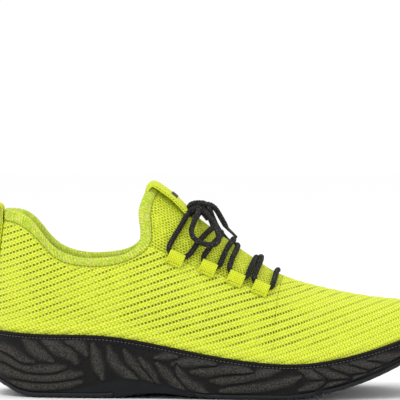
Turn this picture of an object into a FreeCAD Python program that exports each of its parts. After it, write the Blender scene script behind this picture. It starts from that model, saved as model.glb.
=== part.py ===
import FreeCAD, Part
import math
import os

# A right running shoe with a knitted upper, in millimetres.
# +X runs to the toe, +Y to the medial (inner) side and +Z up. The origin is on the ground,
# under the middle of the sole. Every layer of the upper is the space between two copies of
# one foot-shaped solid, each set in from the shoe's outer skin by its own distance.

Vector = FreeCAD.Vector
doc = FreeCAD.newDocument("running_shoe")
sheet = doc.addObject("Spreadsheet::Sheet", "sizes")

SIZES = [
    ("shoe_length", 284.0),
    ("sole_width", 105.0),
    ("sole_margin", 5.0),
    ("heel_bulge", 2.0),
    ("last_floor", 6.0),
    ("cutter_width", 160.0),
    ("outsole_thickness", 3.2),
    ("tread_depth", 1.6),
    ("tread_gap", 2.6),
    ("knit_thickness", 2.2),
    ("tape_inset", 2.9),
    ("counter_inset", 3.6),
    ("lining_inset", 4.4),
    ("foam_inset", 6.0),
    ("collar_inset", 6.8),
    ("strobel_thickness", 1.5),
    ("insole_thickness", 5.0),
    ("stitch_depth", 0.8),
    ("stitch_height", 1.2),
    ("stitch_drop", 2.4),
    ("tongue_tab_width", 22.0),
    ("tongue_tab_top", 2.9),
    ("tab_gap", 0.3),
    ("webbing_thickness", 1.6),
    ("heel_tab_width", 18.0),
    ("heel_loop_wall", 1.3),
    ("loop_width", 10.0),
    ("loop_tail", 8.5),
    ("loop_wall", 1.1),
    ("lace_diameter", 3.0),
    ("lace_clearance", 0.7),
    ("fitting_gap", 0.12),
    ("aglet_diameter", 1.9),
    ("aglet_length", 10.0),
    ("knot_length", 14.0),
    ("knot_width", 12.0),
    ("knot_height", 8.0),
]
for row, (alias, number) in enumerate(SIZES, start=1):
    sheet.set("A%d" % row, alias)
    sheet.set("B%d" % row, str(number))
    sheet.setAlias("B%d" % row, alias)
doc.recompute()

size = {alias: float(sheet.get(alias)) for alias, number in SIZES}
parts = []  # the finished sub-parts, in the order that they are written
LATERAL, MEDIAL = -1, 1  # the sign of Y on each side of the shoe


# ---------------------------------------------------------------- curves of the shoe

def spline(points):
    """A natural cubic spline through (x, y) points, as a function of x."""
    xs = [p[0] for p in points]
    ys = [p[1] for p in points]
    last = len(xs) - 1
    steps = [xs[i + 1] - xs[i] for i in range(last)]
    bend = [0.0] * (last + 1)
    carry = [0.0] * (last + 1)
    for i in range(1, last):
        slope_change = (ys[i + 1] - ys[i]) / steps[i] - (ys[i] - ys[i - 1]) / steps[i - 1]
        pivot = 2 * (steps[i] + steps[i - 1]) - steps[i - 1] * carry[i - 1]
        carry[i] = steps[i] / pivot
        bend[i] = (6 * slope_change - steps[i - 1] * bend[i - 1]) / pivot
    for i in range(last - 1, 0, -1):
        bend[i] -= carry[i] * bend[i + 1]

    def at(x):
        i = 0
        while i < last - 1 and x > xs[i + 1]:
            i += 1
        a = (xs[i + 1] - x) / steps[i]
        b = 1 - a
        curve = (a ** 3 - a) * bend[i] + (b ** 3 - b) * bend[i + 1]
        return a * ys[i] + b * ys[i + 1] + curve * steps[i] ** 2 / 6

    return at


# Half-widths of the sole at even steps from heel (0) to toe (1), for a sole EDGE_WIDTH wide.
EDGE_WIDTH = 105.0
EDGE = {
    LATERAL: spline([(0, 0), (0.1, 21.0), (0.2, 34.0), (0.3, 39.0), (0.4, 42.5), (0.5, 48.0),
                     (0.6, 52.4), (0.7, 50.0), (0.8, 38.5), (0.9, 18.5), (1, -5)]),
    MEDIAL: spline([(0, 0), (0.1, 20.5), (0.2, 33.0), (0.3, 36.0), (0.4, 34.0), (0.5, 38.0),
                    (0.6, 48.5), (0.7, 52.5), (0.8, 44.5), (0.9, 26.5), (1, 5)]),
}
# Heights along X: the sole's top edge, the footbed, and the ridge down the middle of the
# upper, which runs on over the ankle opening as an unseen dome.
SOLE_TOP = [(-142, 41.5), (-132, 40.6), (-102, 38.2), (-69, 36.3), (-39, 31.7), (-11, 26.2),
            (12, 22.6), (30, 21.0), (50, 21.2), (78, 25.7), (111, 35.0), (130, 41.2), (142, 45.5)]
FOOTBED = [(-142, 30.5), (-102, 27.5), (-69, 26.0), (-39, 22.5), (-11, 18.0), (12, 15.4),
           (30, 14.2), (50, 14.6), (78, 19.5), (111, 29.5), (130, 36.2), (142, 40.7)]
RIDGE = [(-104, 172), (-85, 170), (-66, 157), (-50, 142), (-38, 130.5), (-16, 112), (1, 99),
         (15, 89), (28, 80), (38, 74), (58, 67), (78, 62.4), (102, 58.6), (118, 56.5), (131, 52)]
sole_top = spline(SOLE_TOP)
footbed = spline(FOOTBED)
ridge_height = spline(RIDGE)
ridge_shift = spline([(-104, 0), (-20, 0), (60, 2.0), (105, 4.5), (131, 5.0)])
slimness = spline([(0, 1.0), (0.3, 1.02), (0.45, 1.15), (0.6, 1.12), (0.8, 1.0), (1, 1.0)])


# The tread is flat under heel and ball, arched at the waist and lifted at both ends.
HEEL_FLAT = (-113.0, -75.0)
BALL_FLAT = (2.0, 44.0)
WAIST_RISE = 3.6
heel_rise = spline([(-142, 19.0), (-139, 12.5), (-132, 6.6), (-123, 2.2), (-113, 0)])
toe_rise = spline([(44, 0), (55, 1.6), (69, 4.4), (84, 8.6), (99, 14.2), (115, 21.6), (130, 29.6),
                   (142, 37.0)])


def sole_bottom(x):
    """Height of the tread."""
    if x < HEEL_FLAT[0]:
        return heel_rise(x)
    if x < HEEL_FLAT[1]:
        return 0.0
    if x < BALL_FLAT[0]:
        share = (x - HEEL_FLAT[1]) / (BALL_FLAT[0] - HEEL_FLAT[1])
        return WAIST_RISE * math.sin(math.pi * share) ** 2
    if x < BALL_FLAT[1]:
        return 0.0
    return toe_rise(x)


def sole_edge(u, side, inset=0.0):
    """A point (x, y) of the sole's outline and its outward direction; u runs from heel to toe."""
    def raw(t):
        x = -size["shoe_length"] / 2 * math.cos(math.pi * t)
        return x, side * EDGE[side](t) * size["sole_width"] / EDGE_WIDTH

    step = 1e-4
    x0, y0 = raw(max(u - step, 0))
    x1, y1 = raw(min(u + step, 1))
    x, y = raw(u)
    along = math.hypot(x1 - x0, y1 - y0)
    out_x, out_y = -side * (y1 - y0) / along, side * (x1 - x0) / along
    if u in (0, 1):
        out_x, out_y = (-1.0, 0.0) if u == 0 else (1.0, 0.0)
    return x - inset * out_x, y - inset * out_y, out_x, out_y


def skin(u, v, side):
    """A point of the shoe's outer skin: u from heel to toe, v from the footbed to the ridge."""
    base_x, base_y, out_x, out_y = sole_edge(u, side, size["sole_margin"])
    base_z = footbed(base_x)
    first, final = RIDGE[0][0], RIDGE[-1][0]
    top_x = (first + final) / 2 - (final - first) / 2 * math.cos(math.pi * u)
    top_y, top_z = ridge_shift(top_x), ridge_height(top_x)
    turn = v * math.pi / 2
    across = 1 - math.cos(turn)
    up = math.sin(turn) ** slimness(u)
    bulge = size["heel_bulge"] * 6.75 * v * (1 - v) ** 2
    return Vector(
        base_x + (top_x - base_x) * across + bulge * out_x,
        base_y + (top_y - base_y) * across + bulge * out_y,
        base_z + (top_z - base_z) * up,
    )


def skin_normal(u, v, side):
    """The skin's outward direction, kept in the middle plane where the two sides meet."""
    step = 1e-3
    along = skin(min(u + step, 1), v, side) - skin(max(u - step, 0), v, side)
    up = skin(u, min(v + step, 1), side) - skin(u, max(v - step, 0), side)
    if v == 1:
        return Vector(-along.z, 0, along.x).normalize()
    if u in (0, 1):
        outward = Vector(-up.z, 0, up.x) if u == 0 else Vector(up.z, 0, -up.x)
        return outward.normalize()
    normal = along.cross(up) if side == LATERAL else up.cross(along)
    return normal.normalize()


def on_skin(u, v, side, height=0.0):
    """A point height above the skin."""
    return skin(u, v, side) + skin_normal(u, v, side) * height


def find_on_skin(x, z, side):
    """The (u, v) where the skin has this x and z, found by steps that halve."""
    best, u, v, reach = None, 0.5, 0.5, 0.25
    for _ in range(40):
        tries = [(u + a * reach, v + b * reach) for a in (-1, 0, 1) for b in (-1, 0, 1)]
        for tu, tv in tries:
            if 0 < tu < 1 and 0 < tv <= 1:
                p = skin(tu, tv, side)
                miss = math.hypot(p.x - x, p.z - z)
                if best is None or miss < best:
                    best, u, v = miss, tu, tv
        reach *= 0.75
    return u, v


# ---------------------------------------------------------------- solids of the foot shape

ALONG_STEPS, UP_STEPS = 36, 14


def smooth_face(points):
    """A cubic surface very near the grid of points, exact along its four edges."""
    rows, columns = len(points), len(points[0])

    def eased(before, here, after):
        return here - (before - here * 2 + after) / 6

    poles = [[eased(points[max(i - 1, 0)][j], points[i][j], points[min(i + 1, rows - 1)][j])
              if 0 < i < rows - 1 else points[i][j] for j in range(columns)] for i in range(rows)]
    poles = [[eased(r[j - 1], r[j], r[j + 1]) if 1 < j < columns - 1 else r[j]
              for j in range(columns)] for r in poles]
    surface = Part.BSplineSurface()
    surface.buildFromPolesMultsKnots(
        poles,
        [4] + [1] * (rows - 4) + [4],
        [4] + [1] * (columns - 4) + [4],
        [float(k) for k in range(rows - 2)],
        [float(k) for k in range(columns - 2)],
        False, False, 3, 3)
    return surface


def foot_solid(name, inset):
    """The closed solid inside the skin, set in by inset, standing on a flat floor."""
    halves = []
    for side in (LATERAL, MEDIAL):
        grid = []
        for i in range(ALONG_STEPS + 1):
            u = i / ALONG_STEPS
            row = [on_skin(u, j / UP_STEPS, side, -inset) for j in range(UP_STEPS + 1)]
            grid.append([Vector(row[0].x, row[0].y, size["last_floor"])] + row)
        halves.append(smooth_face(grid))
    floor_edges = [half.vIso(0.0).toShape() for half in halves]
    faces = [half.toShape() for half in halves] + [Part.Face(Part.Wire(Part.sortEdges(floor_edges)[0]))]
    shell = Part.makeShell(faces)
    shell.sewShape()
    solid = Part.makeSolid(shell)
    if solid.Volume < 0:
        solid.reverse()
    feature = doc.addObject("Part::Feature", name)
    feature.Shape = solid
    return feature


# ---------------------------------------------------------------- small helpers

def sketch_of(name, pieces, side_view=True):
    """A closed sketch from chains of points: two points make a line, more make a smooth curve."""
    sketch = doc.addObject("Sketcher::SketchObject", name)
    if side_view:
        sketch.Placement = FreeCAD.Placement(Vector(0, 0, 0), FreeCAD.Rotation(Vector(1, 0, 0), 90))
    for chain in pieces:
        points = [Vector(a, b, 0) for a, b in chain]
        if len(points) == 2:
            sketch.addGeometry(Part.LineSegment(points[0], points[1]))
        else:
            curve = Part.BSplineCurve()
            curve.interpolate(points)
            sketch.addGeometry(curve)
    return sketch


def prism(name, sketch, length="sizes.cutter_width"):
    """The sketch pushed out evenly to both sides."""
    block = doc.addObject("Part::Extrusion", name)
    block.Base = sketch
    block.DirMode = "Normal"
    block.Symmetric = True
    block.Solid = True
    block.setExpression("LengthFwd", length)
    return block


def zone(name, pieces):
    """A region of the side view, as a prism right across the shoe."""
    return prism(name, sketch_of(name + "_sketch", pieces))


def boolean(kind, name, base, tool):
    result = doc.addObject("Part::" + kind, name)
    result.Base = base
    result.Tool = tool
    return result


def common(name, base, tool):
    return boolean("Common", name, base, tool)


def cut(name, base, tool):
    return boolean("Cut", name, base, tool)


def fuse(name, shapes):
    result = doc.addObject("Part::MultiFuse", name)
    result.Shapes = shapes
    return result


def keep(feature, name):
    """Names a finished sub-part."""
    feature.Label = name
    parts.append(feature)
    return feature


def cross_box(name, x_low, x_high, z_low, z_high, width):
    """A box centred on the middle plane, its width taken from the sheet."""
    box = doc.addObject("Part::Box", name)
    box.Length = x_high - x_low
    box.Height = z_high - z_low
    box.setExpression("Width", width)
    box.Placement.Base = Vector(x_low, 0, z_low)
    box.setExpression("Placement.Base.y", "-(%s) / 2" % width)
    return box


LINE_STEPS = 15  # points along a line that runs the length of the shoe
BEND_STEPS = 9  # points along one curved stretch of the tread


def sampled(curve, x_low, x_high, count, lift=0.0):
    """Points of a height curve, for the edge of a zone."""
    xs = [x_low + (x_high - x_low) * i / (count - 1) for i in range(count)]
    return [(x, curve(x) + lift) for x in xs]


# ---------------------------------------------------------------- sole

END = size["shoe_length"] / 2
BEYOND = END + 12  # past both ends of the shoe
OUTLINE_STEPS = 20


def plan_sketch(name, inset):
    """The sole's outline from above, as one smooth curve on each side."""
    pieces = []
    for side in (LATERAL, MEDIAL):
        chain = [sole_edge(i / OUTLINE_STEPS, side, inset)[:2] for i in range(OUTLINE_STEPS + 1)]
        pieces.append(chain)
    return sketch_of(name, pieces, side_view=False)


def bottom_chains(lift, x_low, x_high):
    """The tread line between two X, raised by lift, cut into its flat and curved stretches."""
    stops = [x for x in (*HEEL_FLAT, *BALL_FLAT) if x_low < x < x_high]
    ends = [x_low, *stops, x_high]
    chains = []
    for a, b in zip(ends, ends[1:]):
        flat = (a, b) in (HEEL_FLAT, BALL_FLAT)
        inside = HEEL_FLAT[0] <= a and b <= HEEL_FLAT[1] or BALL_FLAT[0] <= a and b <= BALL_FLAT[1]
        chains.append(sampled(sole_bottom, a, b, 2 if flat or inside else BEND_STEPS, lift))
    return chains


plan_block = prism("sole_plan_block", plan_sketch("sole_plan", 0.0))
inner_plan_block = prism("stitch_plan_block", plan_sketch("stitch_plan", size["stitch_depth"]))

top_chain = sampled(sole_top, -BEYOND, BEYOND, LINE_STEPS)
low_chains = bottom_chains(0.0, -BEYOND, BEYOND)
sole_side = zone("sole_side", low_chains + [
    [low_chains[-1][-1], top_chain[-1]],
    list(reversed(top_chain)),
    [top_chain[0], low_chains[0][0]],
])
sole_block = common("sole_block", plan_block, sole_side)


def rubber_zone(name, x_low, x_high):
    """The slice of the side view that one outsole piece fills, from below the tread up."""
    upper_line = bottom_chains(size["outsole_thickness"], x_low, x_high)
    below = -5.0
    return zone(name, upper_line + [
        [upper_line[-1][-1], (x_high, below)],
        [(x_high, below), (x_low, below)],
        [(x_low, below), upper_line[0][0]],
    ])


def grooves(name, places):
    """Cross grooves of the tread, each a box sunk into the rubber at its own X."""
    boxes = []
    for number, x in enumerate(places, start=1):
        z = sole_bottom(x)
        half = size["tread_gap"] / 2
        depth = size["tread_depth"]
        boxes.append(cross_box("%s_%d" % (name, number), x - half, x + half, z - depth, z + depth,
                               "sizes.cutter_width"))
    return fuse(name, boxes)


RUBBER = {  # X range of each outsole piece, and its first groove, pitch and number of grooves
    "outsole_heel": (-BEYOND, -64.0, -126.0, 13.0, 4),
    "outsole_forefoot": (-14.0, 60.0, -6.0, 13.0, 5),
    "outsole_toe": (64.0, BEYOND, 75.0, 12.5, 4),
}
blanks = []
for name, (x_low, x_high, first, pitch, count) in RUBBER.items():
    blank = common(name + "_blank", sole_block, rubber_zone(name + "_zone", x_low, x_high))
    places = [first + pitch * i for i in range(count)]
    keep(cut(name + "_solid", blank, grooves(name + "_groove", places)), name)
    blanks.append(blank)


# ---------------------------------------------------------------- foot-shaped layers

outer = foot_solid("skin_outer", 0.0)
knit_inner = foot_solid("skin_knit", size["knit_thickness"])
tape_inner = foot_solid("skin_tape", size["tape_inset"])
counter_inner = foot_solid("skin_counter", size["counter_inset"])
lining_inner = foot_solid("skin_lining", size["lining_inset"])
foam_inner = foot_solid("skin_foam", size["foam_inset"])
collar_inner = foot_solid("skin_collar", size["collar_inset"])

knit_shell = cut("knit_shell", outer, knit_inner)
collar_shell = cut("collar_shell", outer, lining_inner)
tape_shell = cut("tape_shell", knit_inner, tape_inner)
stiff_shell = cut("stiff_shell", knit_inner, counter_inner)
foam_shell = cut("foam_shell", knit_inner, foam_inner)

# Side-view lines of the upper, from heel to toe.
LIP = [(-154, 115.0), (-132, 114.2), (-121, 112.0), (-113, 106.0), (-106, 97.5), (-99, 91.0),
       (-89, 86.8), (-78, 85.4), (-66, 86.2), (-55, 89.0), (-48, 95.0), (-46.8, 104.0),
       (-47.6, 114.0), (-45.5, 122.0), (-41.5, 130.0), (-36, 140.0)]
SEAM = [(-154, 109.0), (-132, 108.0), (-122, 105.6), (-115, 101.0), (-107, 92.8), (-100, 86.0),
        (-90, 82.0), (-77, 80.6), (-63, 82.0), (-50, 86.6), (-42.5, 92.5), (-40.8, 102.0),
        (-41.4, 113.0), (-39.5, 121.0), (-35.5, 128.5), (-29, 138.0)]
PANEL = [(-42.5, 92.5), (-32, 88.5), (-21, 82.6), (-8, 78.2), (6, 72.6), (20, 67.0), (30, 65.0),
         (39, 69.5), (43, 84.0)]
PAD_LOW = [(-154, 84.0), (-122, 80.0), (-104, 66.0), (-82, 60.5), (-64, 62.0), (-51, 74.0),
           (-42.5, 92.5)]
SKY = 200.0


def footbed_chain(lift, x_low=-BEYOND, x_high=BEYOND):
    """The footbed line; past the ends of the shoe it runs on along its last slope."""
    return sampled(footbed, x_low, x_high, LINE_STEPS, lift)


floor_line = footbed_chain(0.0)
above_footbed = zone("above_footbed", [
    floor_line,
    [floor_line[-1], (BEYOND, SKY)],
    [(BEYOND, SKY), (-BEYOND, SKY)],
    [(-BEYOND, SKY), floor_line[0]],
])

# midsole: the sole without its rubber, hollowed for the upper, with a groove for the stitching
upper_socket = common("upper_socket", outer, above_footbed)
stitch_foot = -size["stitch_drop"] - size["stitch_height"]
stitch_low = sampled(sole_top, -BEYOND, BEYOND, LINE_STEPS, stitch_foot)
stitch_high = sampled(sole_top, -BEYOND, BEYOND, LINE_STEPS, -size["stitch_drop"])
stitch_band = zone("stitch_band", [
    stitch_low,
    [stitch_low[-1], stitch_high[-1]],
    list(reversed(stitch_high)),
    [stitch_high[0], stitch_low[0]],
])
stitch_slice = common("stitch_slice", sole_block, stitch_band)
stitch = keep(cut("stitch_ring", stitch_slice, inner_plan_block), "sole_stitch")
keep(cut("midsole_solid", sole_block, fuse("midsole_tools", blanks + [upper_socket, stitch])), "midsole")

# knit_upper: heel, sides and toe; instep_panel: between the laces and up into the tongue
panel_end = PANEL[-1]
quarters_zone = zone("quarters_zone", [
    floor_line,
    [floor_line[-1], (BEYOND, panel_end[1])],
    [(BEYOND, panel_end[1]), panel_end],
    list(reversed(PANEL)),
    list(reversed(SEAM[:11])),
    [SEAM[0], floor_line[0]],
])
keep(common("knit_solid", knit_shell, quarters_zone), "knit_upper")

panel_zone = zone("panel_zone", [
    PANEL,
    [panel_end, (panel_end[0], SKY)],
    [(panel_end[0], SKY), (SEAM[-1][0], SKY)],
    [(SEAM[-1][0], SKY), SEAM[-1]],
    list(reversed(SEAM[10:])),
])
keep(common("panel_solid", knit_shell, panel_zone), "instep_panel")

collar_zone = zone("collar_zone", [
    SEAM[:11],
    SEAM[10:],
    [SEAM[-1], LIP[-1]],
    list(reversed(LIP)),
    [LIP[0], SEAM[0]],
])
keep(common("collar_solid", collar_shell, collar_zone), "collar_band")

padding_zone = zone("padding_zone", [
    PAD_LOW,
    list(reversed(SEAM[:11])),
    [SEAM[0], PAD_LOW[0]],
])
keep(common("foam_solid", foam_shell, padding_zone), "collar_foam")
collar_lining_block = common("collar_lining_block", foam_inner, padding_zone)
keep(cut("collar_lining_solid", collar_lining_block, collar_inner), "collar_lining")


# heel_counter and heel_lining fill the heel below the padding, back from their front edges
cup_floor = footbed_chain(size["strobel_thickness"] + size["fitting_gap"])
below_padding = zone("below_padding", [
    cup_floor,
    [cup_floor[-1], (BEYOND, PAD_LOW[-1][1])],
    [(BEYOND, PAD_LOW[-1][1]), PAD_LOW[-1]],
    list(reversed(PAD_LOW)),
    [PAD_LOW[0], cup_floor[0]],
])
for name, block, inner, front in (
    ("heel_counter", knit_inner, counter_inner, -88.0),
    ("heel_lining", counter_inner, lining_inner, -70.0),
):
    heel_box = cross_box(name + "_box", -BEYOND, front, 0.0, SKY / 2, "sizes.cutter_width")
    heel_block = common(name + "_block", common(name + "_rear", block, heel_box), below_padding)
    keep(cut(name + "_solid", heel_block, inner), name)

TOE_PUFF_START = 106.0
toe_low = footbed_chain(size["strobel_thickness"] + size["fitting_gap"], TOE_PUFF_START, BEYOND)
toe_zone = zone("toe_zone", [
    toe_low,
    [toe_low[-1], (BEYOND, SKY)],
    [(BEYOND, SKY), (TOE_PUFF_START, SKY)],
    [(TOE_PUFF_START, SKY), toe_low[0]],
])
keep(common("toe_puff_solid", stiff_shell, toe_zone), "toe_puff")


def bed_layer(name, low, high):
    """A slab that follows the footbed between two heights above it."""
    low_line = footbed_chain(low)
    high_line = footbed_chain(high)
    return zone(name, [
        low_line,
        [low_line[-1], high_line[-1]],
        list(reversed(high_line)),
        [high_line[0], low_line[0]],
    ])


board_top = size["strobel_thickness"]
insole_top = board_top + size["insole_thickness"]
keep(common("board_solid", knit_inner, bed_layer("board_zone", 0.0, board_top)), "strobel_board")
keep(common("insole_solid", lining_inner, bed_layer("insole_zone", board_top, insole_top)), "insole")

TAPE_LOW = [(-40, 82.0), (-23, 75.0), (3, 65.0), (20, 58.5), (34, 55.0)]
tape_top = [p for p in PANEL if -42 < p[0] < 35]
tape_zone = zone("tape_zone", [
    TAPE_LOW,
    [TAPE_LOW[-1], tape_top[-1]],
    list(reversed(tape_top)),
    [tape_top[0], TAPE_LOW[0]],
])
tapes = common("tapes", tape_shell, tape_zone)
SIDE_WIDTH = 80.0
TAPE_CLEAR = 10.0  # of the middle plane, on each side
for name, y in (
    ("eyestay_tape_lateral", -TAPE_CLEAR - SIDE_WIDTH),
    ("eyestay_tape_medial", TAPE_CLEAR),
):
    half_box = doc.addObject("Part::Box", name + "_side")
    half_box.Length, half_box.Width, half_box.Height = 2 * BEYOND, SIDE_WIDTH, SKY
    half_box.Placement.Base = Vector(-BEYOND, y, 0)
    keep(common(name + "_solid", tapes, half_box), name)


# ---------------------------------------------------------------- webbing tabs

tab_low = foot_solid("skin_tab_low", -size["tab_gap"])
tab_high = foot_solid("skin_tab_high", -size["tongue_tab_top"])
tab_shell = cut("tab_shell", tab_high, tab_low)
TONGUE_TAB = [(-41.0, 120.0), (-43.0, 131.0), (-33.0, 142.0), (-16.0, 123.0), (-27.0, 109.0)]
tongue_zone = prism("tongue_tab_zone", sketch_of("tongue_tab_sketch", [
    [a, b] for a, b in zip(TONGUE_TAB, TONGUE_TAB[1:] + TONGUE_TAB[:1])
]), "sizes.tongue_tab_width")
keep(common("tongue_tab_solid", tab_shell, tongue_zone), "tongue_tab")

STRIP_GAP = 0.1  # between the knit and the webbing strip sewn up the heel
STRIP_FRONT, STRIP_FOOT, STRIP_HEAD = -110.0, 58.0, 101.0
heel_low = foot_solid("skin_heel_tab_low", -STRIP_GAP)
heel_high = foot_solid("skin_heel_tab_high", -STRIP_GAP - size["webbing_thickness"])
heel_tab_shell = cut("heel_tab_shell", heel_high, heel_low)
heel_strip = cross_box("heel_strip_box", -BEYOND, STRIP_FRONT, STRIP_FOOT, STRIP_HEAD,
                       "sizes.heel_tab_width")
keep(common("heel_tab_base_solid", heel_tab_shell, heel_strip), "heel_tab_base")


# The loop is a long ring standing on the strip: X of its two legs, and the heights of the
# centres of its bottom and top bends.
HEEL_LOOP_BACK, HEEL_LOOP_FRONT = -142.0, -134.6
HEEL_LOOP_LOW, HEEL_LOOP_HIGH = 105.6, 114.4


def heel_loop_profile():
    """The finger loop in side view: two straight legs joined by half circles."""
    middle = (HEEL_LOOP_BACK + HEEL_LOOP_FRONT) / 2
    outer_radius = (HEEL_LOOP_FRONT - HEEL_LOOP_BACK) / 2
    sketch = doc.addObject("Sketcher::SketchObject", "heel_loop_sketch")
    sketch.Placement = FreeCAD.Placement(Vector(0, 0, 0), FreeCAD.Rotation(Vector(1, 0, 0), 90))
    for radius in (outer_radius, outer_radius - size["heel_loop_wall"]):
        top = Part.Circle(Vector(middle, HEEL_LOOP_HIGH, 0), Vector(0, 0, 1), radius)
        bottom = Part.Circle(Vector(middle, HEEL_LOOP_LOW, 0), Vector(0, 0, 1), radius)
        sketch.addGeometry(Part.ArcOfCircle(top, 0, math.pi))
        sketch.addGeometry(Part.ArcOfCircle(bottom, math.pi, 2 * math.pi))
        for x in (middle - radius, middle + radius):
            sketch.addGeometry(Part.LineSegment(Vector(x, HEEL_LOOP_LOW, 0),
                                                Vector(x, HEEL_LOOP_HIGH, 0)))
    return sketch


keep(prism("heel_loop_solid", heel_loop_profile(), "sizes.heel_tab_width"), "heel_tab_loop")


# ---------------------------------------------------------------- lace loops

LACE_RADIUS = size["lace_diameter"] / 2
BORE = LACE_RADIUS + size["lace_clearance"]
RING = BORE + size["loop_wall"]
LOOP_CLEARANCE = 0.25  # between a ring and the skin, because the skin curves along the lace
LOOP_HEIGHT = RING + LOOP_CLEARANCE  # of the lace's centre above the skin, inside a loop
LOOPS = [(-25.6, 85.6), (-5.9, 79.4), (10.9, 72.6), (26.2, 66.4)]  # x and z of each loop's ring
ROW_DIRECTION = (0.906, -0.423)  # the loops' row falls 25 degrees towards the toe


def loop_frame(number, side):
    """Where a loop's ring sits: its centre, and the directions forward, up the foot and out."""
    x, z = LOOPS[number - 1]
    u, v = find_on_skin(x, z, side)
    out = skin_normal(u, v, side)
    up = on_skin(u, min(v + 0.05, 1), side) - on_skin(u, v - 0.05, side)
    forward = Vector(ROW_DIRECTION[0], 0, ROW_DIRECTION[1])
    forward = (forward - out * forward.dot(out)).normalize()
    up = (up - out * up.dot(out) - forward * up.dot(forward)).normalize()
    return on_skin(u, v, side, LOOP_HEIGHT), forward, up, out


def loop_sketch():
    """Side view of a webbing loop: a ring round the lace with a tail lying on the upper."""
    ring, tail, floor = RING, size["loop_tail"], -RING
    tail_top = floor + size["webbing_thickness"]
    meet = -math.sqrt(ring ** 2 - tail_top ** 2)
    sketch = doc.addObject("Sketcher::SketchObject", "lace_loop_sketch")
    centre, axis = Vector(0, 0, 0), Vector(0, 0, 1)
    bottom = -math.pi / 2
    end = math.atan2(tail_top, meet) + 2 * math.pi
    sketch.addGeometry(Part.ArcOfCircle(Part.Circle(centre, axis, ring), bottom, end))
    sketch.addGeometry(Part.LineSegment(Vector(meet, tail_top, 0), Vector(-tail, tail_top, 0)))
    sketch.addGeometry(Part.LineSegment(Vector(-tail, tail_top, 0), Vector(-tail, floor, 0)))
    sketch.addGeometry(Part.LineSegment(Vector(-tail, floor, 0), Vector(0, floor, 0)))
    sketch.addGeometry(Part.Circle(centre, axis, BORE))
    return sketch


loop_profile = loop_sketch()
for side, word in ((LATERAL, "lateral"), (MEDIAL, "medial")):
    for number in (1, 2, 3, 4):
        centre, forward, up, out = loop_frame(number, side)
        name = "lace_loop_%s_%d" % (word, number)
        loop = prism(name + "_solid", loop_profile, "sizes.loop_width")
        width = up.cross(out)
        loop.Placement = FreeCAD.Placement(centre, FreeCAD.Rotation(up, out, width, "XYZ"))
        keep(loop, name)


# ---------------------------------------------------------------- laces

def cord_wire(points, name):
    """Straight runs joined by tangent arcs, each as large as the shorter run beside it allows."""
    points = [Vector(*p) for p in points]
    edges, start, radii = [], points[0], []
    for before, corner, after in zip(points, points[1:], points[2:]):
        come, leave = corner - before, after - corner
        half_turn = come.getAngle(leave) / 2
        reach = 0.45 * min(come.Length, leave.Length)
        radii.append(reach / math.tan(half_turn))
        come.normalize()
        leave.normalize()
        a, b = corner - come * reach, corner + leave * reach
        inward = (leave - come).normalize()
        middle = corner + inward * (radii[-1] / math.cos(half_turn) - radii[-1])
        edges.append(Part.LineSegment(start, a).toShape())
        edges.append(Part.Arc(a, middle, b).toShape())
        start = b
    edges.append(Part.LineSegment(start, points[-1]).toShape())
    wire = Part.Wire(edges)
    tightest = min(radii)
    print("%-20s length %.1f mm, tightest bend %.1f mm" % (name, wire.Length, tightest))
    return wire


def cord_tube(name, points):
    """A lace swept along its wire; its section is a circle from the sheet."""
    path = doc.addObject("Part::Feature", name + "_path")
    path.Shape = cord_wire(points, name)
    first, second = Vector(*points[0]), Vector(*points[1])
    section = doc.addObject("Part::Circle", name + "_section")
    section.setExpression("Radius", "sizes.lace_diameter / 2")
    section.Placement = FreeCAD.Placement(first, FreeCAD.Rotation(Vector(0, 0, 1), second - first))
    tube = doc.addObject("Part::Sweep", name + "_tube")
    tube.Sections = [section]
    tube.Spine = (path, ["Edge%d" % (i + 1) for i in range(len(path.Shape.Edges))])
    tube.Solid = True
    tube.Frenet = False
    return tube


STRAND_HEIGHT = 3.3  # of a strand's centre above the skin
OVER_HEIGHT = 7.2  # where it crosses over the other strand
CROSSING_BEND = 1.6  # more than 1 moves each crossing from the ridge to the medial side
CORNER = size["loop_width"] / 2 + 1.3  # from a ring's middle to the corner where the lace turns
ACROSS_SHARES = (0.18, 0.38, 0.62, 0.82)  # where a strand's route points lie on its way over
KNOT = Vector(-12.0, 0.0, 116.0)
KNOT_TILT = 40.0


def loop_ends(number, side):
    """The corners of the lace's route at a loop's front and rear ends."""
    centre, forward, up, out = loop_frame(number, side)
    return centre + forward * CORNER, centre - forward * CORNER


def strand(start, end, side, over=False):
    """Route points from a corner on one side to a corner on the other, across the ridge."""
    u_start, v_start = find_on_skin(start.x, start.z - 1.0, side)
    u_end, v_end = find_on_skin(end.x, end.z - 1.0, -side)
    points = []
    crossing = ACROSS_SHARES[2] if side == LATERAL else ACROSS_SHARES[1]
    for share in ACROSS_SHARES:
        across = side * ((1 - v_start) * (1 - share) - (1 - v_end) * share)
        if side == LATERAL:
            slide = share ** CROSSING_BEND
        else:
            slide = 1 - (1 - share) ** CROSSING_BEND
        here = MEDIAL if across > 0 else LATERAL
        high = over and share == crossing
        height = OVER_HEIGHT if high else STRAND_HEIGHT
        points.append(on_skin(u_start + (u_end - u_start) * slide, 1 - abs(across), here, height))
    return points


def half_lace(side, over):
    """From the front loop's rear end back to the knot, changing side at every gap."""
    route = []
    for number in (4, 3, 2):
        rear, front = loop_ends(number, side)[1], loop_ends(number - 1, -side)[0]
        route += [rear] + strand(rear, front, side, over) + [front]
        side = -side
    route.append(loop_ends(1, side)[1])
    for x, z in ((-29.5, 94.0), (-23.0, 104.0)):
        route.append(on_skin(*find_on_skin(x, z, side), side, STRAND_HEIGHT))
    route.append(KNOT + Vector(-6.0, side * 9.0, -2.0))
    route.append(KNOT + Vector(-2.0, side * 4.0, 0.5))
    return route


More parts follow.
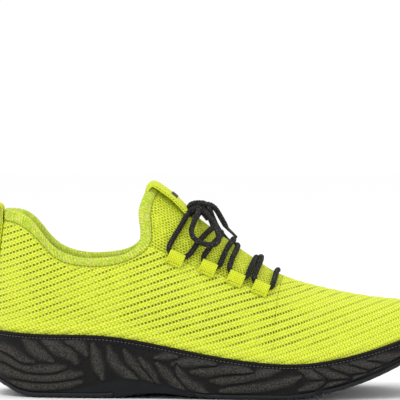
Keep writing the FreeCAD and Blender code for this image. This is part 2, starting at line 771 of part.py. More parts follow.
front_ends = [loop_ends(4, side)[0] for side in (LATERAL, MEDIAL)]
front_bar = [front_ends[0]] + strand(front_ends[0], front_ends[1], LATERAL) + [front_ends[1]]
lace_route = list(reversed(half_lace(LATERAL, True))) + front_bar + half_lace(MEDIAL, False)

# The bow's free loops and ends, each from the knot; points chosen by hand.
BOWS = {
    "bow_loop_lateral": [(-12.0, -8.2, 114.5), (-14.5, -15.0, 110.5), (-17.0, -22.0, 103.5),
                         (-14.5, -27.0, 97.0), (-8.0, -29.0, 93.5), (-1.0, -28.0, 93.5),
                         (2.5, -23.0, 99.0), (0.5, -17.0, 105.5), (-3.5, -12.0, 110.0),
                         (-8.0, -8.2, 112.5)],
    "bow_loop_medial": [(-12.5, 8.2, 114.5), (-15.5, 15.5, 111.0), (-18.0, 23.0, 104.0),
                        (-16.0, 29.0, 97.0), (-9.5, 31.5, 93.0), (-3.0, 30.0, 94.5),
                        (-1.0, 25.0, 100.5), (-3.0, 18.5, 107.0), (-5.5, 13.0, 111.0),
                        (-9.0, 8.2, 112.8)],
}
LACE_ENDS = {
    "lateral": [(-5.0, -1.5, 117.5), (-1.0, -3.0, 115.5), (3.0, -4.0, 110.5), (6.5, -4.5, 105.5)],
    "medial": [(-5.5, 4.5, 114.5), (-0.5, 9.5, 110.0), (3.5, 16.0, 103.5), (7.0, 22.5, 96.0),
               (9.5, 27.5, 88.5)],
}
AGLET_TIPS = {"lateral": (13.0, -4.8, 98.5), "medial": (11.5, 31.0, 80.0)}

keep(cord_tube("shoelace", [tuple(p) for p in lace_route]), "shoelace")

knot = doc.addObject("Part::Ellipsoid", "knot_solid")
knot.setExpression("Radius1", "sizes.knot_height / 2")
knot.setExpression("Radius2", "sizes.knot_length / 2")
knot.setExpression("Radius3", "sizes.knot_width / 2")
knot.Placement = FreeCAD.Placement(KNOT, FreeCAD.Rotation(Vector(0, 1, 0), KNOT_TILT))
keep(knot, "lace_knot")

for name, points in BOWS.items():
    keep(cord_tube(name, points), name)

for word, points in LACE_ENDS.items():
    keep(cord_tube("lace_end_" + word, points), "lace_end_" + word)
    start = Vector(*points[-1])
    aim = Vector(*AGLET_TIPS[word]) - start
    aglet = doc.addObject("Part::Cylinder", "aglet_%s_solid" % word)
    aglet.setExpression("Radius", "sizes.aglet_diameter / 2")
    aglet.setExpression("Height", "sizes.aglet_length")
    aglet.Placement = FreeCAD.Placement(start, FreeCAD.Rotation(Vector(0, 0, 1), aim))
    keep(aglet, "aglet_" + word)


# ---------------------------------------------------------------- checks and files

doc.recompute()
failed = [o.Name for o in doc.Objects if "Invalid" in o.State or "Error" in o.State]
for part in parts:
    shape = part.Shape
    if shape.isNull() or not shape.isValid() or not shape.Solids:
        failed.append(part.Label)
if failed:
    raise RuntimeError("failed: " + ", ".join(failed))

LACE_SECTION = math.pi * LACE_RADIUS ** 2
for part in parts:
    if part.TypeId == "Part::Sweep":
        spine = doc.getObject(part.Label + "_path").Shape
        share = part.Shape.Volume / (LACE_SECTION * spine.Length)
        print("%-20s volume is %.3f of section times length" % (part.Label, share))

os.makedirs("parts", exist_ok=True)
for part in parts:
    part.Shape.exportStep("parts/%s.step" % part.Label)
print("%d sub-parts written" % len(parts))
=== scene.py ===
import math

import bmesh
import bpy
import numpy as np
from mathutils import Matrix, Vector


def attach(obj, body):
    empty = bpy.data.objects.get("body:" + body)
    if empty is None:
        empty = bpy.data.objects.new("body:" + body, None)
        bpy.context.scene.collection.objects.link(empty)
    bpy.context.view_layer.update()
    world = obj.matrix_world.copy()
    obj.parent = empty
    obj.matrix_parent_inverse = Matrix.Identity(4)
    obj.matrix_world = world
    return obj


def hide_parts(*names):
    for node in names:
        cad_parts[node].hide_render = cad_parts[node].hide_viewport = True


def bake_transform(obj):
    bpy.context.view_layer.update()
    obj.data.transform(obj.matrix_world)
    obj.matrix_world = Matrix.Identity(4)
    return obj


# A right running shoe: +X to the toe, +Y to the inner side, +Z up. The shapes below are worked
# out in millimetres, in the CAD's own frame, and turned into metres when a mesh is made.

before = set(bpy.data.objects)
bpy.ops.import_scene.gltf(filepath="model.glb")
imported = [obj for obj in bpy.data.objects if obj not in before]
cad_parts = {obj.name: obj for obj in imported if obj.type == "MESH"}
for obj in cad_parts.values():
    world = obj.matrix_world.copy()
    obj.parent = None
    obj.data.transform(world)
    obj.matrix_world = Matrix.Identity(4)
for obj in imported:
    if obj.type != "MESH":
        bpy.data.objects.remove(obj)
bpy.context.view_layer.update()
MM = 0.001
LATERAL, MEDIAL = -1, 1
SIDES = ((LATERAL, "lateral"), (MEDIAL, "medial"))


# ---------------------------------------------------------------- curves of the shoe

def spline(points):
    """A natural cubic spline through (x, y) points, as a function of an array."""
    xs, ys = np.array(points, float).T
    last = len(xs) - 1
    step = np.diff(xs)
    matrix = np.eye(last + 1)
    right = np.zeros(last + 1)
    for i in range(1, last):
        matrix[i, i - 1:i + 2] = step[i - 1], 2 * (step[i - 1] + step[i]), step[i]
        right[i] = 6 * ((ys[i + 1] - ys[i]) / step[i] - (ys[i] - ys[i - 1]) / step[i - 1])
    bend = np.linalg.solve(matrix, right)

    def at(x):
        i = np.clip(np.searchsorted(xs, x) - 1, 0, last - 1)
        a = (xs[i + 1] - x) / step[i]
        b = 1 - a
        curve = (a ** 3 - a) * bend[i] + (b ** 3 - b) * bend[i + 1]
        return a * ys[i] + b * ys[i + 1] + curve * step[i] ** 2 / 6

    return at


def smooth_step(low, high, x):
    """0 below low, 1 above high, and smooth between."""
    t = np.clip((x - low) / (high - low), 0, 1)
    return t * t * (3 - 2 * t)


HALF_LENGTH = 142.0
SOLE_MARGIN = 5.0
HEEL_BULGE = 2.0
EDGE = {
    LATERAL: spline([(0, 0), (0.1, 21.0), (0.2, 34.0), (0.3, 39.0), (0.4, 42.5), (0.5, 48.0),
                     (0.6, 52.4), (0.7, 50.0), (0.8, 38.5), (0.9, 18.5), (1, -5)]),
    MEDIAL: spline([(0, 0), (0.1, 20.5), (0.2, 33.0), (0.3, 36.0), (0.4, 34.0), (0.5, 38.0),
                    (0.6, 48.5), (0.7, 52.5), (0.8, 44.5), (0.9, 26.5), (1, 5)]),
}
sole_rim = spline([(-142, 40.5), (-132, 39.8), (-102, 38.7), (-69, 38.0), (-39, 33.5), (-11, 28.0),
                   (12, 24.3), (30, 22.4), (50, 22.0), (78, 26.0), (111, 35.0), (130, 41.2),
                   (142, 45.5)])  # height of the wall's top edge, where it meets the knit
footbed = spline([(-142, 30.5), (-102, 27.5), (-69, 26.0), (-39, 22.5), (-11, 18.0), (12, 15.4),
                  (30, 14.2), (50, 14.6), (78, 19.5), (111, 29.5), (130, 36.2), (142, 40.7)])
RIDGE = [(-104, 172), (-85, 170), (-66, 155.5), (-50, 139.8), (-38, 129.2), (-16, 112), (1, 99),
         (15, 89), (28, 80), (38, 74), (58, 67), (78, 62.4), (102, 58.6), (118, 56.5), (131, 52)]
ridge_height = spline(RIDGE)
ridge_shift = spline([(-104, 0), (-20, 0), (60, 2.0), (105, 4.5), (131, 5.0)])
slimness = spline([(0, 1.0), (0.3, 1.02), (0.45, 1.15), (0.6, 1.12), (0.8, 1.0), (1, 1.0)])
HEEL_FLAT = (-113.0, -75.0)
BALL_FLAT = (2.0, 44.0)
WAIST_RISE = 3.6
heel_rise = spline([(-142, 19.0), (-139, 12.5), (-132, 6.6), (-123, 2.2), (-113, 0)])
toe_rise = spline([(44, 0), (55, 1.6), (69, 4.4), (84, 8.6), (99, 14.2), (115, 21.6), (130, 29.6),
                   (142, 37.0)])


def sole_bottom(x):
    """Height of the tread: flat under heel and ball, arched between, lifted at the ends."""
    x = np.asarray(x, float)
    share = np.clip((x - HEEL_FLAT[1]) / (BALL_FLAT[0] - HEEL_FLAT[1]), 0, 1)
    waist = WAIST_RISE * np.sin(np.pi * share) ** 2
    return np.where(x < HEEL_FLAT[0], heel_rise(x), np.where(x > BALL_FLAT[1], toe_rise(x), waist))


def sole_edge(u, side, inset=0.0):
    """Points (x, y) of the sole's outline set in by inset, and the outward direction there."""
    def raw(t):
        return -HALF_LENGTH * np.cos(np.pi * t), side * EDGE[side](t)

    step = 1e-4
    x0, y0 = raw(np.maximum(u - step, 0))
    x1, y1 = raw(np.minimum(u + step, 1))
    x, y = raw(u)
    along = np.hypot(x1 - x0, y1 - y0)
    out_x, out_y = -side * (y1 - y0) / along, side * (x1 - x0) / along
    end = (u == 0) | (u == 1)
    out_x = np.where(end, np.where(u == 0, -1.0, 1.0), out_x)
    out_y = np.where(end, 0.0, out_y)
    return x - inset * out_x, y - inset * out_y, out_x, out_y


def skin(u, v, side):
    """Points of the outer skin: u from heel to toe, v from the footbed to the ridge."""
    u, v = np.broadcast_arrays(np.asarray(u, float), np.asarray(v, float))
    base_x, base_y, out_x, out_y = sole_edge(u, side, SOLE_MARGIN)
    base_z = footbed(base_x)
    first, final = RIDGE[0][0], RIDGE[-1][0]
    top_x = (first + final) / 2 - (final - first) / 2 * np.cos(np.pi * u)
    top_y, top_z = ridge_shift(top_x), ridge_height(top_x)
    turn = v * np.pi / 2
    across = 1 - np.cos(turn)
    up = np.sin(turn) ** slimness(u)
    bulge = HEEL_BULGE * 6.75 * v * (1 - v) ** 2
    return np.stack([
        base_x + (top_x - base_x) * across + bulge * out_x,
        base_y + (top_y - base_y) * across + bulge * out_y,
        base_z + (top_z - base_z) * up,
    ], -1)


def unit(vectors):
    return vectors / np.linalg.norm(vectors, axis=-1, keepdims=True)


def skin_normal(u, v, side):
    """The skin's outward direction, kept in the middle plane where the two sides meet."""
    u, v = np.broadcast_arrays(np.asarray(u, float), np.asarray(v, float))
    step = 1e-3
    along = skin(np.minimum(u + step, 1), v, side) - skin(np.maximum(u - step, 0), v, side)
    up = skin(u, np.minimum(v + step, 1), side) - skin(u, np.maximum(v - step, 0), side)
    normal = np.cross(along, up) * -side
    zero = np.zeros_like(u)
    over = np.stack([-along[..., 2], zero, along[..., 0]], -1)
    heel = np.stack([-up[..., 2], zero, up[..., 0]], -1)
    normal = np.where((u == 0)[..., None], heel, normal)
    normal = np.where((u == 1)[..., None], -heel, normal)
    normal = np.where((v == 1)[..., None], over, normal)
    return unit(normal)


def on_skin(u, v, side, height=0.0):
    """Points height above the skin."""
    return skin(u, v, side) + skin_normal(u, v, side) * np.asarray(height, float)[..., None]


def halving(low, high, falls_short, rounds):
    """The numbers at which falls_short(number) turns from true to false, from below and above."""
    for _ in range(rounds):
        middle = (low + high) / 2
        short = falls_short(middle)
        low, high = np.where(short, middle, low), np.where(short, high, middle)
    return low, high


def find_on_skin(x, z, side):
    """The (u, v) where the skin has this x and z, by steps that shrink, and how far it missed."""
    x, z = np.atleast_1d(np.asarray(x, float)), np.atleast_1d(np.asarray(z, float))
    u, v = np.full_like(x, 0.5), np.full_like(x, 0.5)
    best = np.full_like(x, 1e9)
    reach = 0.25
    for _ in range(44):
        middle_u, middle_v = u.copy(), v.copy()
        for a in (-1, 0, 1):
            for b in (-1, 0, 1):
                tu = np.clip(middle_u + a * reach, 1e-6, 1 - 1e-6)
                tv = np.clip(middle_v + b * reach, 1e-6, 1)
                p = skin(tu, tv, side)
                miss = np.hypot(p[..., 0] - x, p[..., 2] - z)
                better = miss < best
                best = np.where(better, miss, best)
                u, v = np.where(better, tu, u), np.where(better, tv, v)
        reach *= 0.76
    return u, v, best


# Side-view lines of the upper, from heel to toe, as in the CAD.
LIP = [(-154, 115.0), (-132, 114.2), (-121, 112.0), (-113, 106.0), (-106, 97.5), (-99, 91.0),
       (-89, 86.8), (-78, 85.4), (-66, 86.2), (-55, 89.0), (-48, 95.0), (-46.8, 104.0),
       (-47.6, 114.0), (-45.5, 122.0), (-41.5, 130.0), (-36, 140.0)]
SEAM = [(-154, 109.0), (-132, 108.0), (-122, 105.6), (-115, 101.0), (-107, 92.8), (-100, 86.0),
        (-90, 82.0), (-77, 80.6), (-63, 82.0), (-50, 86.6), (-42.5, 92.5), (-40.8, 102.0),
        (-41.4, 113.0), (-39.5, 121.0), (-35.5, 128.5), (-29, 138.0)]
CORNER_POINT = 10  # where the seam meets the panel's lower line
PANEL = [(-42.5, 92.5), (-32, 88.5), (-21, 82.6), (-8, 78.2), (6, 72.6), (20, 67.0), (30, 65.0),
         (39, 69.5), (43, 84.0)]
PAD_LOW = [(-154, 84.0), (-122, 80.0), (-104, 66.0), (-82, 60.5), (-64, 62.0), (-51, 74.0),
           (-42.5, 92.5)]


TRACE_POINTS = 900
ON_SKIN = 0.06  # millimetres a point may miss the skin by and still lie on it
NEAR_HEEL = 0.012  # the u below which a line is taken straight to the heel


def chord_lengths(points):
    """How far along a chain of points each one is."""
    gaps = np.linalg.norm(np.diff(points, axis=0), axis=1)
    return np.concatenate([[0], np.cumsum(gaps)])


def chain_at(places, along, points):
    """Points of a chain at these distances along it."""
    return np.stack([np.interp(places, along, column) for column in points.T], 1)


def even(points, count):
    """A chain of points resampled to evenly spaced ones."""
    points = np.asarray(points, float)
    along = chord_lengths(points)
    return chain_at(np.linspace(0, along[-1], count), along, points)


def curve_through(points, count=None, lengths_of=None):
    """Even places along a smooth curve through given points, and the curve's points there.

    Without a count there is about one in a millimetre. lengths_of gives the points that the
    lengths are measured on, where they aren't the points themselves."""
    points = np.array(points, float)
    along = chord_lengths(points if lengths_of is None else lengths_of)
    places = np.linspace(0, along[-1], count or max(12, int(along[-1])))
    return places, np.stack([spline(list(zip(along, column)))(places) for column in points.T], 1)


def trace(points, side, count, from_heel=False, to_ridge=False):
    """A side-view line laid on the skin, as evenly spaced (u, v), ending where the skin ends."""
    _, line = curve_through(points, TRACE_POINTS)
    u, v, miss = find_on_skin(*line.T, side)
    inside = np.flatnonzero(miss < ON_SKIN)
    u, v = u[inside[0]:inside[-1] + 1], v[inside[0]:inside[-1] + 1]
    if from_heel:
        u = np.concatenate([[0.0], u[u > NEAR_HEEL]])
        v = np.concatenate([[v[0]], v[-len(u) + 1:]])
    if to_ridge:
        v[-1] = 1.0
    along = chord_lengths(skin(u, v, side))
    return chain_at(np.linspace(0, 1, count), along / along[-1], np.stack([u, v], 1))


# ---------------------------------------------------------------- meshes

def weave_of(run, across, other=0.0):
    """A weave layer from its three numbers."""
    return np.stack(np.broadcast_arrays(run, across, other), -1)


def coloured(obj, material):
    obj.data.materials.append(material)
    return obj


def add_object(name, data):
    obj = bpy.data.objects.new(name, data)
    bpy.context.scene.collection.objects.link(obj)
    return obj


def new_mesh(name, points, faces, weave=None):
    """A mesh object from points in millimetres; weave is a vector at each point for materials."""
    mesh = bpy.data.meshes.new(name)
    mesh.from_pydata([tuple(p) for p in np.asarray(points, float) * MM], [], faces)
    if weave is not None:
        layer = mesh.attributes.new("weave", "FLOAT_VECTOR", "POINT")
        layer.data.foreach_set("vector", np.asarray(weave, np.float32).ravel())
    mesh.shade_smooth()
    return add_object(name, mesh)


def grid_faces(rows, columns, offset=0, closed=False, flip=False):
    """Quads of a grid of points; closed joins the last column to the first."""
    faces = []
    for i in range(rows - 1):
        for j in range(columns if closed else columns - 1):
            k = (j + 1) % columns
            quad = (offset + i * columns + j, offset + i * columns + k,
                    offset + (i + 1) * columns + k, offset + (i + 1) * columns + j)
            faces.append(quad[::-1] if flip else quad)
    return faces


def sheet_mesh(name, grids, weaves=None, thickness=None, weld=0.02, closed=False):
    """One object from grids of points whose shared edges are welded, thickened inwards."""
    points, faces, weave = [], [], []
    for number, (grid, flip) in enumerate(grids):
        rows, columns = grid.shape[:2]
        faces += grid_faces(rows, columns, len(points), flip=flip)
        points += list(grid.reshape(-1, 3))
        if weaves is not None:
            weave += list(weaves[number].reshape(-1, 3))
    obj = new_mesh(name, points, faces, weave if weaves is not None else None)
    work = bmesh.new()
    work.from_mesh(obj.data)
    bmesh.ops.remove_doubles(work, verts=work.verts, dist=weld * MM)
    bmesh.ops.dissolve_degenerate(work, edges=work.edges, dist=1e-7)
    if closed:
        bmesh.ops.recalc_face_normals(work, faces=work.faces)
    work.to_mesh(obj.data)
    work.free()
    if thickness:
        solid = obj.modifiers.new("thickness", "SOLIDIFY")
        solid.thickness = thickness * MM
        solid.offset = -1
        solid.use_even_offset = False
        settle(obj)
    return obj


def end_strips(upper, under):
    """The strips that close the first and last rows of two grids that face each other."""
    return [(np.stack([upper[k], under[k]]), False) for k in (0, -1)]


def both_sides(name, side_grid, **options):
    """One sheet from the grids and weaves that side_grid(side) gives for the two sides."""
    made = [(side, *side_grid(side)) for side, _ in SIDES]
    grids = [(points, side == MEDIAL) for side, points, _ in made]
    return sheet_mesh(name, grids, [weave for _, _, weave in made], **options)


def settle(obj):
    """Applies an object's modifiers to its mesh."""
    graph = bpy.context.evaluated_depsgraph_get()
    mesh = bpy.data.meshes.new_from_object(obj.evaluated_get(graph))
    obj.modifiers.clear()
    obj.data = mesh
    mesh.shade_smooth()


def joined(name, objects):
    """Several meshes of one material each as one object; attributes go with them."""
    work = bmesh.new()
    materials = []
    for obj in objects:
        before = len(work.faces)
        work.from_mesh(obj.data)
        for material in obj.data.materials:
            if material not in materials:
                materials.append(material)
            for face in list(work.faces)[before:]:
                face.material_index = materials.index(material)
    mesh = bpy.data.meshes.new(name)
    work.to_mesh(mesh)
    work.free()
    mesh.shade_smooth()
    for obj in objects:
        bpy.data.objects.remove(obj)
    for material in materials:
        mesh.materials.append(material)
    return add_object(name, mesh)


def frames_along(path):
    """Two side directions at each point of a path, turning as little as they can."""
    tangents = unit(np.gradient(path, axis=0))
    start = np.cross(tangents[0], (0, 0, 1))
    if np.linalg.norm(start) < 0.1:
        start = np.cross(tangents[0], (0, 1, 0))
    sides = [unit(start)]
    for t in tangents[1:]:
        side = sides[-1] - t * (sides[-1] @ t)
        sides.append(unit(side))
    sides = np.array(sides)
    return sides, np.cross(tangents, sides)


def circles(one, two, angle):
    """Unit circles in the planes of two directions, one circle at each point of a path."""
    return one[:, None] * np.cos(angle)[None, :, None] + two[:, None] * np.sin(angle)[None, :, None]


def tube(name, path, radius, around=20, swell=None):
    """A mesh tube along a path. swell(length, angle) adds to the radius, in millimetres."""
    one, two = frames_along(path)
    length = chord_lengths(path)
    angle = np.linspace(0, 2 * np.pi, around, endpoint=False)
    ring_radius = np.broadcast_to(np.asarray(radius, float), length.shape)[:, None]
    wide = ring_radius + (swell(length[:, None], angle[None, :]) if swell else 0.0)
    wide = np.broadcast_to(wide, (len(path), around))
    points = path[:, None] + circles(one, two, angle) * wide[..., None]
    weave = weave_of(length[:, None], angle[None, :] / (2 * np.pi))
    faces = grid_faces(len(path), around, closed=True)
    last = (len(path) - 1) * around
    faces.append(tuple(range(around))[::-1])
    faces.append(tuple(range(last, last + around)))
    return new_mesh(name, points.reshape(-1, 3), faces, weave.reshape(-1, 3))


FINE_WELD, WIDE_WELD = 0.004, 0.3  # welding distances of small and of loosely fitting edges
LANES = np.sin(np.pi / 2 * np.linspace(-1, 1, 17))  # places across a strip, closer at its edges
SEAM_LANES = (2, 14)  # those where a strip's two rows of stitches run
EDGE_PITCH = 1.5  # of the small scallops of a strip's woven edges


def strip(name, grid, thickness, scallop=0.10):
    """Webbing from a grid of middle points (along, across LANES), with rounded woven edges."""
    along, across = np.gradient(grid, axis=0), unit(np.gradient(grid, axis=1))
    normal = unit(np.cross(unit(along), across))
    length = chord_lengths(grid[:, len(LANES) // 2])
    wave = np.cos(length * 2 * np.pi / EDGE_PITCH)[:, None] * LANES[None] ** 9 * scallop
    grid = grid + across * wave[..., None]
    half = thickness / 2 * np.sqrt(np.clip(1 - LANES ** 8, 0, 1))
    top, low = grid + normal * half[None, :, None], grid - normal * half[None, :, None]
    width = np.linalg.norm(grid[:, -1] - grid[:, 0], axis=-1)
    weave = weave_of(length[:, None], LANES[None] * width[:, None] / 2)
    end_weaves = [np.stack([weave[k], weave[k]]) for k in (0, -1)]
    return sheet_mesh(name, [(top, False), (low, True)] + end_strips(top, low),
                      [weave, weave] + end_weaves, weld=FINE_WELD, closed=True)


def swept_strip(name, path, across, width, thickness):
    """Webbing along a path; across is its sideways direction."""
    side = LANES[None, :, None] * width / 2
    return strip(name, path[:, None] + np.broadcast_to(across, path.shape)[:, None] * side, thickness)


def rounded(points, count):
    """A smooth line through given points of any dimension, resampled evenly."""
    _, line = curve_through(points, 20 * len(points))
    return even(line, count)


def smooth_route(points, spacing):
    """Even points along the NURBS spline that has these route points, in millimetres."""
    curve = bpy.data.curves.new("route", "CURVE")
    curve.dimensions = "3D"
    line = curve.splines.new("NURBS")
    line.points.add(len(points) - 1)
    for place, p in zip(line.points, points):
        place.co = (*(float(c) * MM for c in p), 1)
    line.order_u = 3
    line.use_endpoint_u = True
    line.resolution_u = 24
    obj = add_object("route", curve)
    mesh = bpy.data.meshes.new_from_object(obj)
    path = np.array([v.co for v in mesh.vertices]) / MM
    bpy.data.objects.remove(obj)
    bpy.data.curves.remove(curve)
    bpy.data.meshes.remove(mesh)
    return even(path, max(4, int(chord_lengths(path)[-1] / spacing)))


# ---------------------------------------------------------------- materials

class Value:
    """A number in a material's node tree; sums and products of these make its Math nodes."""

    def __init__(self, nodes, socket):
        self.nodes, self.socket = nodes, socket

    def __add__(self, other):
        return self.nodes.math("ADD", self, other)

    def __sub__(self, other):
        return self.nodes.math("SUBTRACT", self, other)

    def __rsub__(self, other):
        return self.nodes.math("SUBTRACT", other, self)

    def __mul__(self, other):
        return self.nodes.math("MULTIPLY", self, other)

    def __truediv__(self, other):
        return self.nodes.math("DIVIDE", self, other)

    def clamped(self):
        self.socket.node.use_clamp = True
        return self


class Nodes:
    """A short way to write a material's node tree."""

    def __init__(self, name):
        self.material = bpy.data.materials.new(name)
        self.material.use_nodes = True
        self.tree = self.material.node_tree
        self.shader = self.tree.nodes["Principled BSDF"]

    def add(self, kind, inputs=(), **settings):
        """A new node; inputs are its inputs' numbers or values, by place or name."""
        made = self.tree.nodes.new("ShaderNode" + kind)
        for key, value in settings.items():
            setattr(made, key, value)
        for key, value in dict(inputs).items():
            self.put(made.inputs[key], value)
        return made

    def put(self, socket, value):
        if isinstance(value, Value):
            self.tree.links.new(value.socket, socket)
        elif isinstance(value, tuple) and len(value) == 3:
            socket.default_value = (*value, 1)
        else:
            socket.default_value = value

    def math(self, operation, a, b=0.0):
        made = self.add("Math", {0: a, 1: b}, operation=operation)
        return Value(self, made.outputs[0])

    def fold(self, value):
        """Distance from the nearest whole number, 0 to 0.5."""
        return self.math("PINGPONG", value, 0.5)

    def wave(self, value):
        return self.math("SINE", value)

    def length(self, a, b):
        return self.math("SQRT", a * a + b * b)

    def steps(self, value, low, high, out_low=0.0, out_high=1.0):
        """A smooth step of value from low to high."""
        numbers = enumerate((value, low, high, out_low, out_high))
        made = self.add("MapRange", numbers, interpolation_type="SMOOTHSTEP")
        return Value(self, made.outputs[0])

    def noise(self, scale, detail=2.0, roughness=0.5):
        made = self.add("TexNoise", {"Scale": scale, "Detail": detail, "Roughness": roughness,
                                     "Vector": self.position()})
        return Value(self, made.outputs["Fac"])

    def position(self):
        """The point's place in the object, in metres."""
        return Value(self, self.add("TexCoord").outputs["Object"])

    def weave(self):
        """The three numbers of the mesh's weave layer."""
        layer = Value(self, self.add("Attribute", attribute_name="weave").outputs["Vector"])
        return [Value(self, part) for part in self.add("SeparateXYZ", {0: layer}).outputs]

    def mix(self, share, low, high):
        """A colour between low and high."""
        made = self.add("Mix", {0: share, 6: low, 7: high}, data_type="RGBA")
        return Value(self, made.outputs[2])

    def bump(self, height, distance):
        """Bump of the given height, whose full range is distance millimetres."""
        made = self.add("Bump", {"Strength": 1.0, "Distance": distance * MM, "Height": height})
        return Value(self, made.outputs[0])

    def finish(self, colour, roughness, normal=None, **sockets):
        self.put(self.shader.inputs["Base Color"], colour)
        self.put(self.shader.inputs["Roughness"], roughness)
        if normal is not None:
            self.put(self.shader.inputs["Normal"], normal)
        for name, value in sockets.items():
            self.shader.inputs[name.replace("_", " ")].default_value = value
        return self.material


LIME_LIGHT = (0.81, 0.91, 0.080)
LIME = (0.47, 0.56, 0.006)
# the two darker colours below are painted shade: the first in the knit's valleys and crest pits, the
# second in its holes
LIME_SHADE = (0.24, 0.30, 0.001)
HOLE_SHADE = (0.13, 0.16, 0.0)
KNIT_LOOK = {"Sheen_Weight": 0.12, "Sheen_Roughness": 0.5, "Sheen_Tint": (0.85, 0.92, 0.30, 1.0),
             "Specular_IOR_Level": 0.2}


def rib_knit():
    """Ribs with V stitches, and a row of small holes in each valley between them. The holes, the small
    pits on the crests and the valleys are painted dark as shade; the stitch loops and the rib crests
    are painted lighter as highlight.
    """
    n = Nodes("knit_ribbed")
    run, rib, open_knit = n.weave()
    stagger = n.math("FLOOR", rib + 0.5) * 0.37
    step_run = run + stagger + (n.noise(160.0) - 0.5) * 0.55
    valley = n.fold(rib)
    hole_reach = n.length(valley / 0.185, n.fold(step_run) / 0.36)
    patchy = n.steps(n.noise(42.0, 1.0), 0.30, 0.56)
    hole = (n.steps(hole_reach, 1.15, 0.45) * (open_knit * (patchy + 0.45))).clamped()
    pit_reach = n.length(n.fold(rib + 0.5) / 0.11, n.fold(step_run + 0.5) / 0.36)
    crest_pit = n.steps(pit_reach, 1.15, 0.35, 0.0, 0.34)
    wale = n.math("PINGPONG", rib * 2.0, 0.5)
    stitch = n.steps(n.fold(step_run + wale * 1.1), 0.04, 0.40)
    fibre = n.noise(1000.0, 3.0, 0.7)
    crest = n.steps(valley, 0.0, 0.17)
    depth = stitch * 0.40 + fibre * 0.55 + crest * 0.35 - hole * 1.1
    # painted highlight: the stitch loops and the rib crests lift the tone; fibre and the broader noise
    # are the yarn's own tone
    tone = stitch * 0.58 + fibre * 0.90 + (n.noise(620.0, 1.0) - 0.5) * 0.55 + crest * 0.14
    colour = n.mix(n.steps(tone, 0.36, 1.10), LIME, LIME_LIGHT)
    # painted shade in the valleys between the ribs, less where the knit is closed
    valley_shade = (1.0 - crest) * 0.20 * (open_knit * 0.55 + 0.45)
    colour = n.mix(valley_shade, colour, LIME_SHADE)
    # painted shade in the small pits on the rib crests
    colour = n.mix(crest_pit, colour, LIME_SHADE)
    # painted shade in the holes
    colour = n.mix(hole * 0.88, colour, HOLE_SHADE)
    speck = n.steps(n.noise(760.0, 1.0, 0.6), 0.63, 0.70)
    colour = n.mix(speck * 0.45, colour, (0.60, 0.56, 0.24))
    return n.finish(colour, 0.9, n.bump(depth, 0.62), **KNIT_LOOK)


def fine_knit():
    """The instep's finer grid knit: small pits in even rows both ways, painted dark as shade, the
    painted shade fainter higher up.
    """
    n = Nodes("knit_fine")
    run, rib, high = n.weave()
    shifted = run + (n.noise(220.0) - 0.5) * 0.7 + n.math("FLOOR", rib + 0.5) * 0.5
    reach = n.length(n.fold(shifted) / 0.34, n.fold(rib) / 0.30)
    patchy = n.steps(n.noise(60.0, 1.0), 0.30, 0.62)
    pit = (n.steps(reach, 1.15, 0.35) * (patchy + 0.60)).clamped()
    fibre = n.noise(1000.0, 3.0, 0.7)
    colour = n.mix(n.steps(fibre, 0.32, 0.68), LIME, LIME_LIGHT)
    # painted shade in the pits, stronger low on the panel and fainter near the ridge
    colour = n.mix(pit * n.steps(high, 0.0, 1.0, 0.80, 0.36), colour, HOLE_SHADE)
    return n.finish(colour, 0.9, n.bump(fibre * 0.5 - pit, 0.55), **KNIT_LOOK)


def rib_band():
    """The collar's marled rib knit, paler and greener than the rest, with painted shade in the grooves
    between its ribs.
    """
    n = Nodes("collar_rib")
    run, _, _ = n.weave()
    ridge = n.steps(n.fold(run + (n.noise(300.0) - 0.5) * 0.8), 0.05, 0.42)
    marl = n.noise(850.0, 2.0, 0.7)
    patch = n.steps(n.noise(300.0, 1.0), 0.38, 0.62)
    green = n.mix(patch, (0.60, 0.80, 0.055), (0.80, 0.90, 0.10))
    colour = n.mix(n.steps(marl, 0.34, 0.66), n.mix(0.50, green, (0.24, 0.32, 0.004)), green)
    colour = n.mix(n.steps(marl, 0.55, 0.66) * 0.7, colour, (0.84, 0.92, 0.24))
    # painted shade in the grooves between the crosswise ribs
    colour = n.mix(n.steps(ridge, 1.0, 0.0, 0.0, 0.32), colour, (0.24, 0.33, 0.008))
    speck = n.steps(n.noise(520.0, 1.0), 0.61, 0.67)
    colour = n.mix(speck * 0.55, colour, (0.78, 0.62, 0.32))
    look = {**KNIT_LOOK, "Sheen_Weight": 0.15}
    return n.finish(colour, 0.9, n.bump(ridge * 0.6 + marl * 0.6, 0.5), **look)


def webbing(name, light, dark, thread_width):
    """Plain woven tape: small blocks over and under."""
    n = Nodes(name)
    run, across, _ = n.weave()
    turn = math.pi / thread_width
    blocks = n.wave(run * turn) * n.wave(across * turn)
    fibre = n.noise(1000.0, 2.0, 0.7)
    colour = n.mix(n.steps(blocks * 0.30 + fibre * 0.8, 0.14, 0.66), dark, light)
    return n.finish(colour, 0.8, n.bump(blocks * 0.5 + fibre * 0.5, 0.35), Sheen_Weight=0.1,
                    Sheen_Roughness=0.4, Specular_IOR_Level=0.25)


BRAID_PITCH, BRAID_STRANDS = 0.62, 4  # turns in a millimetre, and strands each way round


def braid():
    """Black braided lace: two sets of strands that cross along it."""
    n = Nodes("lace_braid")
    length, turn, _ = n.weave()
    pitch, strands = length * BRAID_PITCH, turn * float(BRAID_STRANDS)
    weave = n.math("MAXIMUM", n.wave((pitch + strands) * math.tau),
                   n.wave((pitch - strands) * math.tau))
    fibre = n.noise(1800.0, 3.0, 0.7)
    tone = n.steps(weave * 0.22 + fibre * 0.8, 0.36, 0.82)
    colour = n.mix(tone, (0.002, 0.002, 0.0022), (0.040, 0.038, 0.036))
    fleck = n.steps(n.noise(900.0, 1.0), 0.58, 0.68)
    colour = n.mix(fleck * 0.50, colour, (0.15, 0.14, 0.13))
    return n.finish(colour, 0.62, n.bump(weave * 0.6 + fibre * 0.4, 0.28),
                    Specular_IOR_Level=0.22)


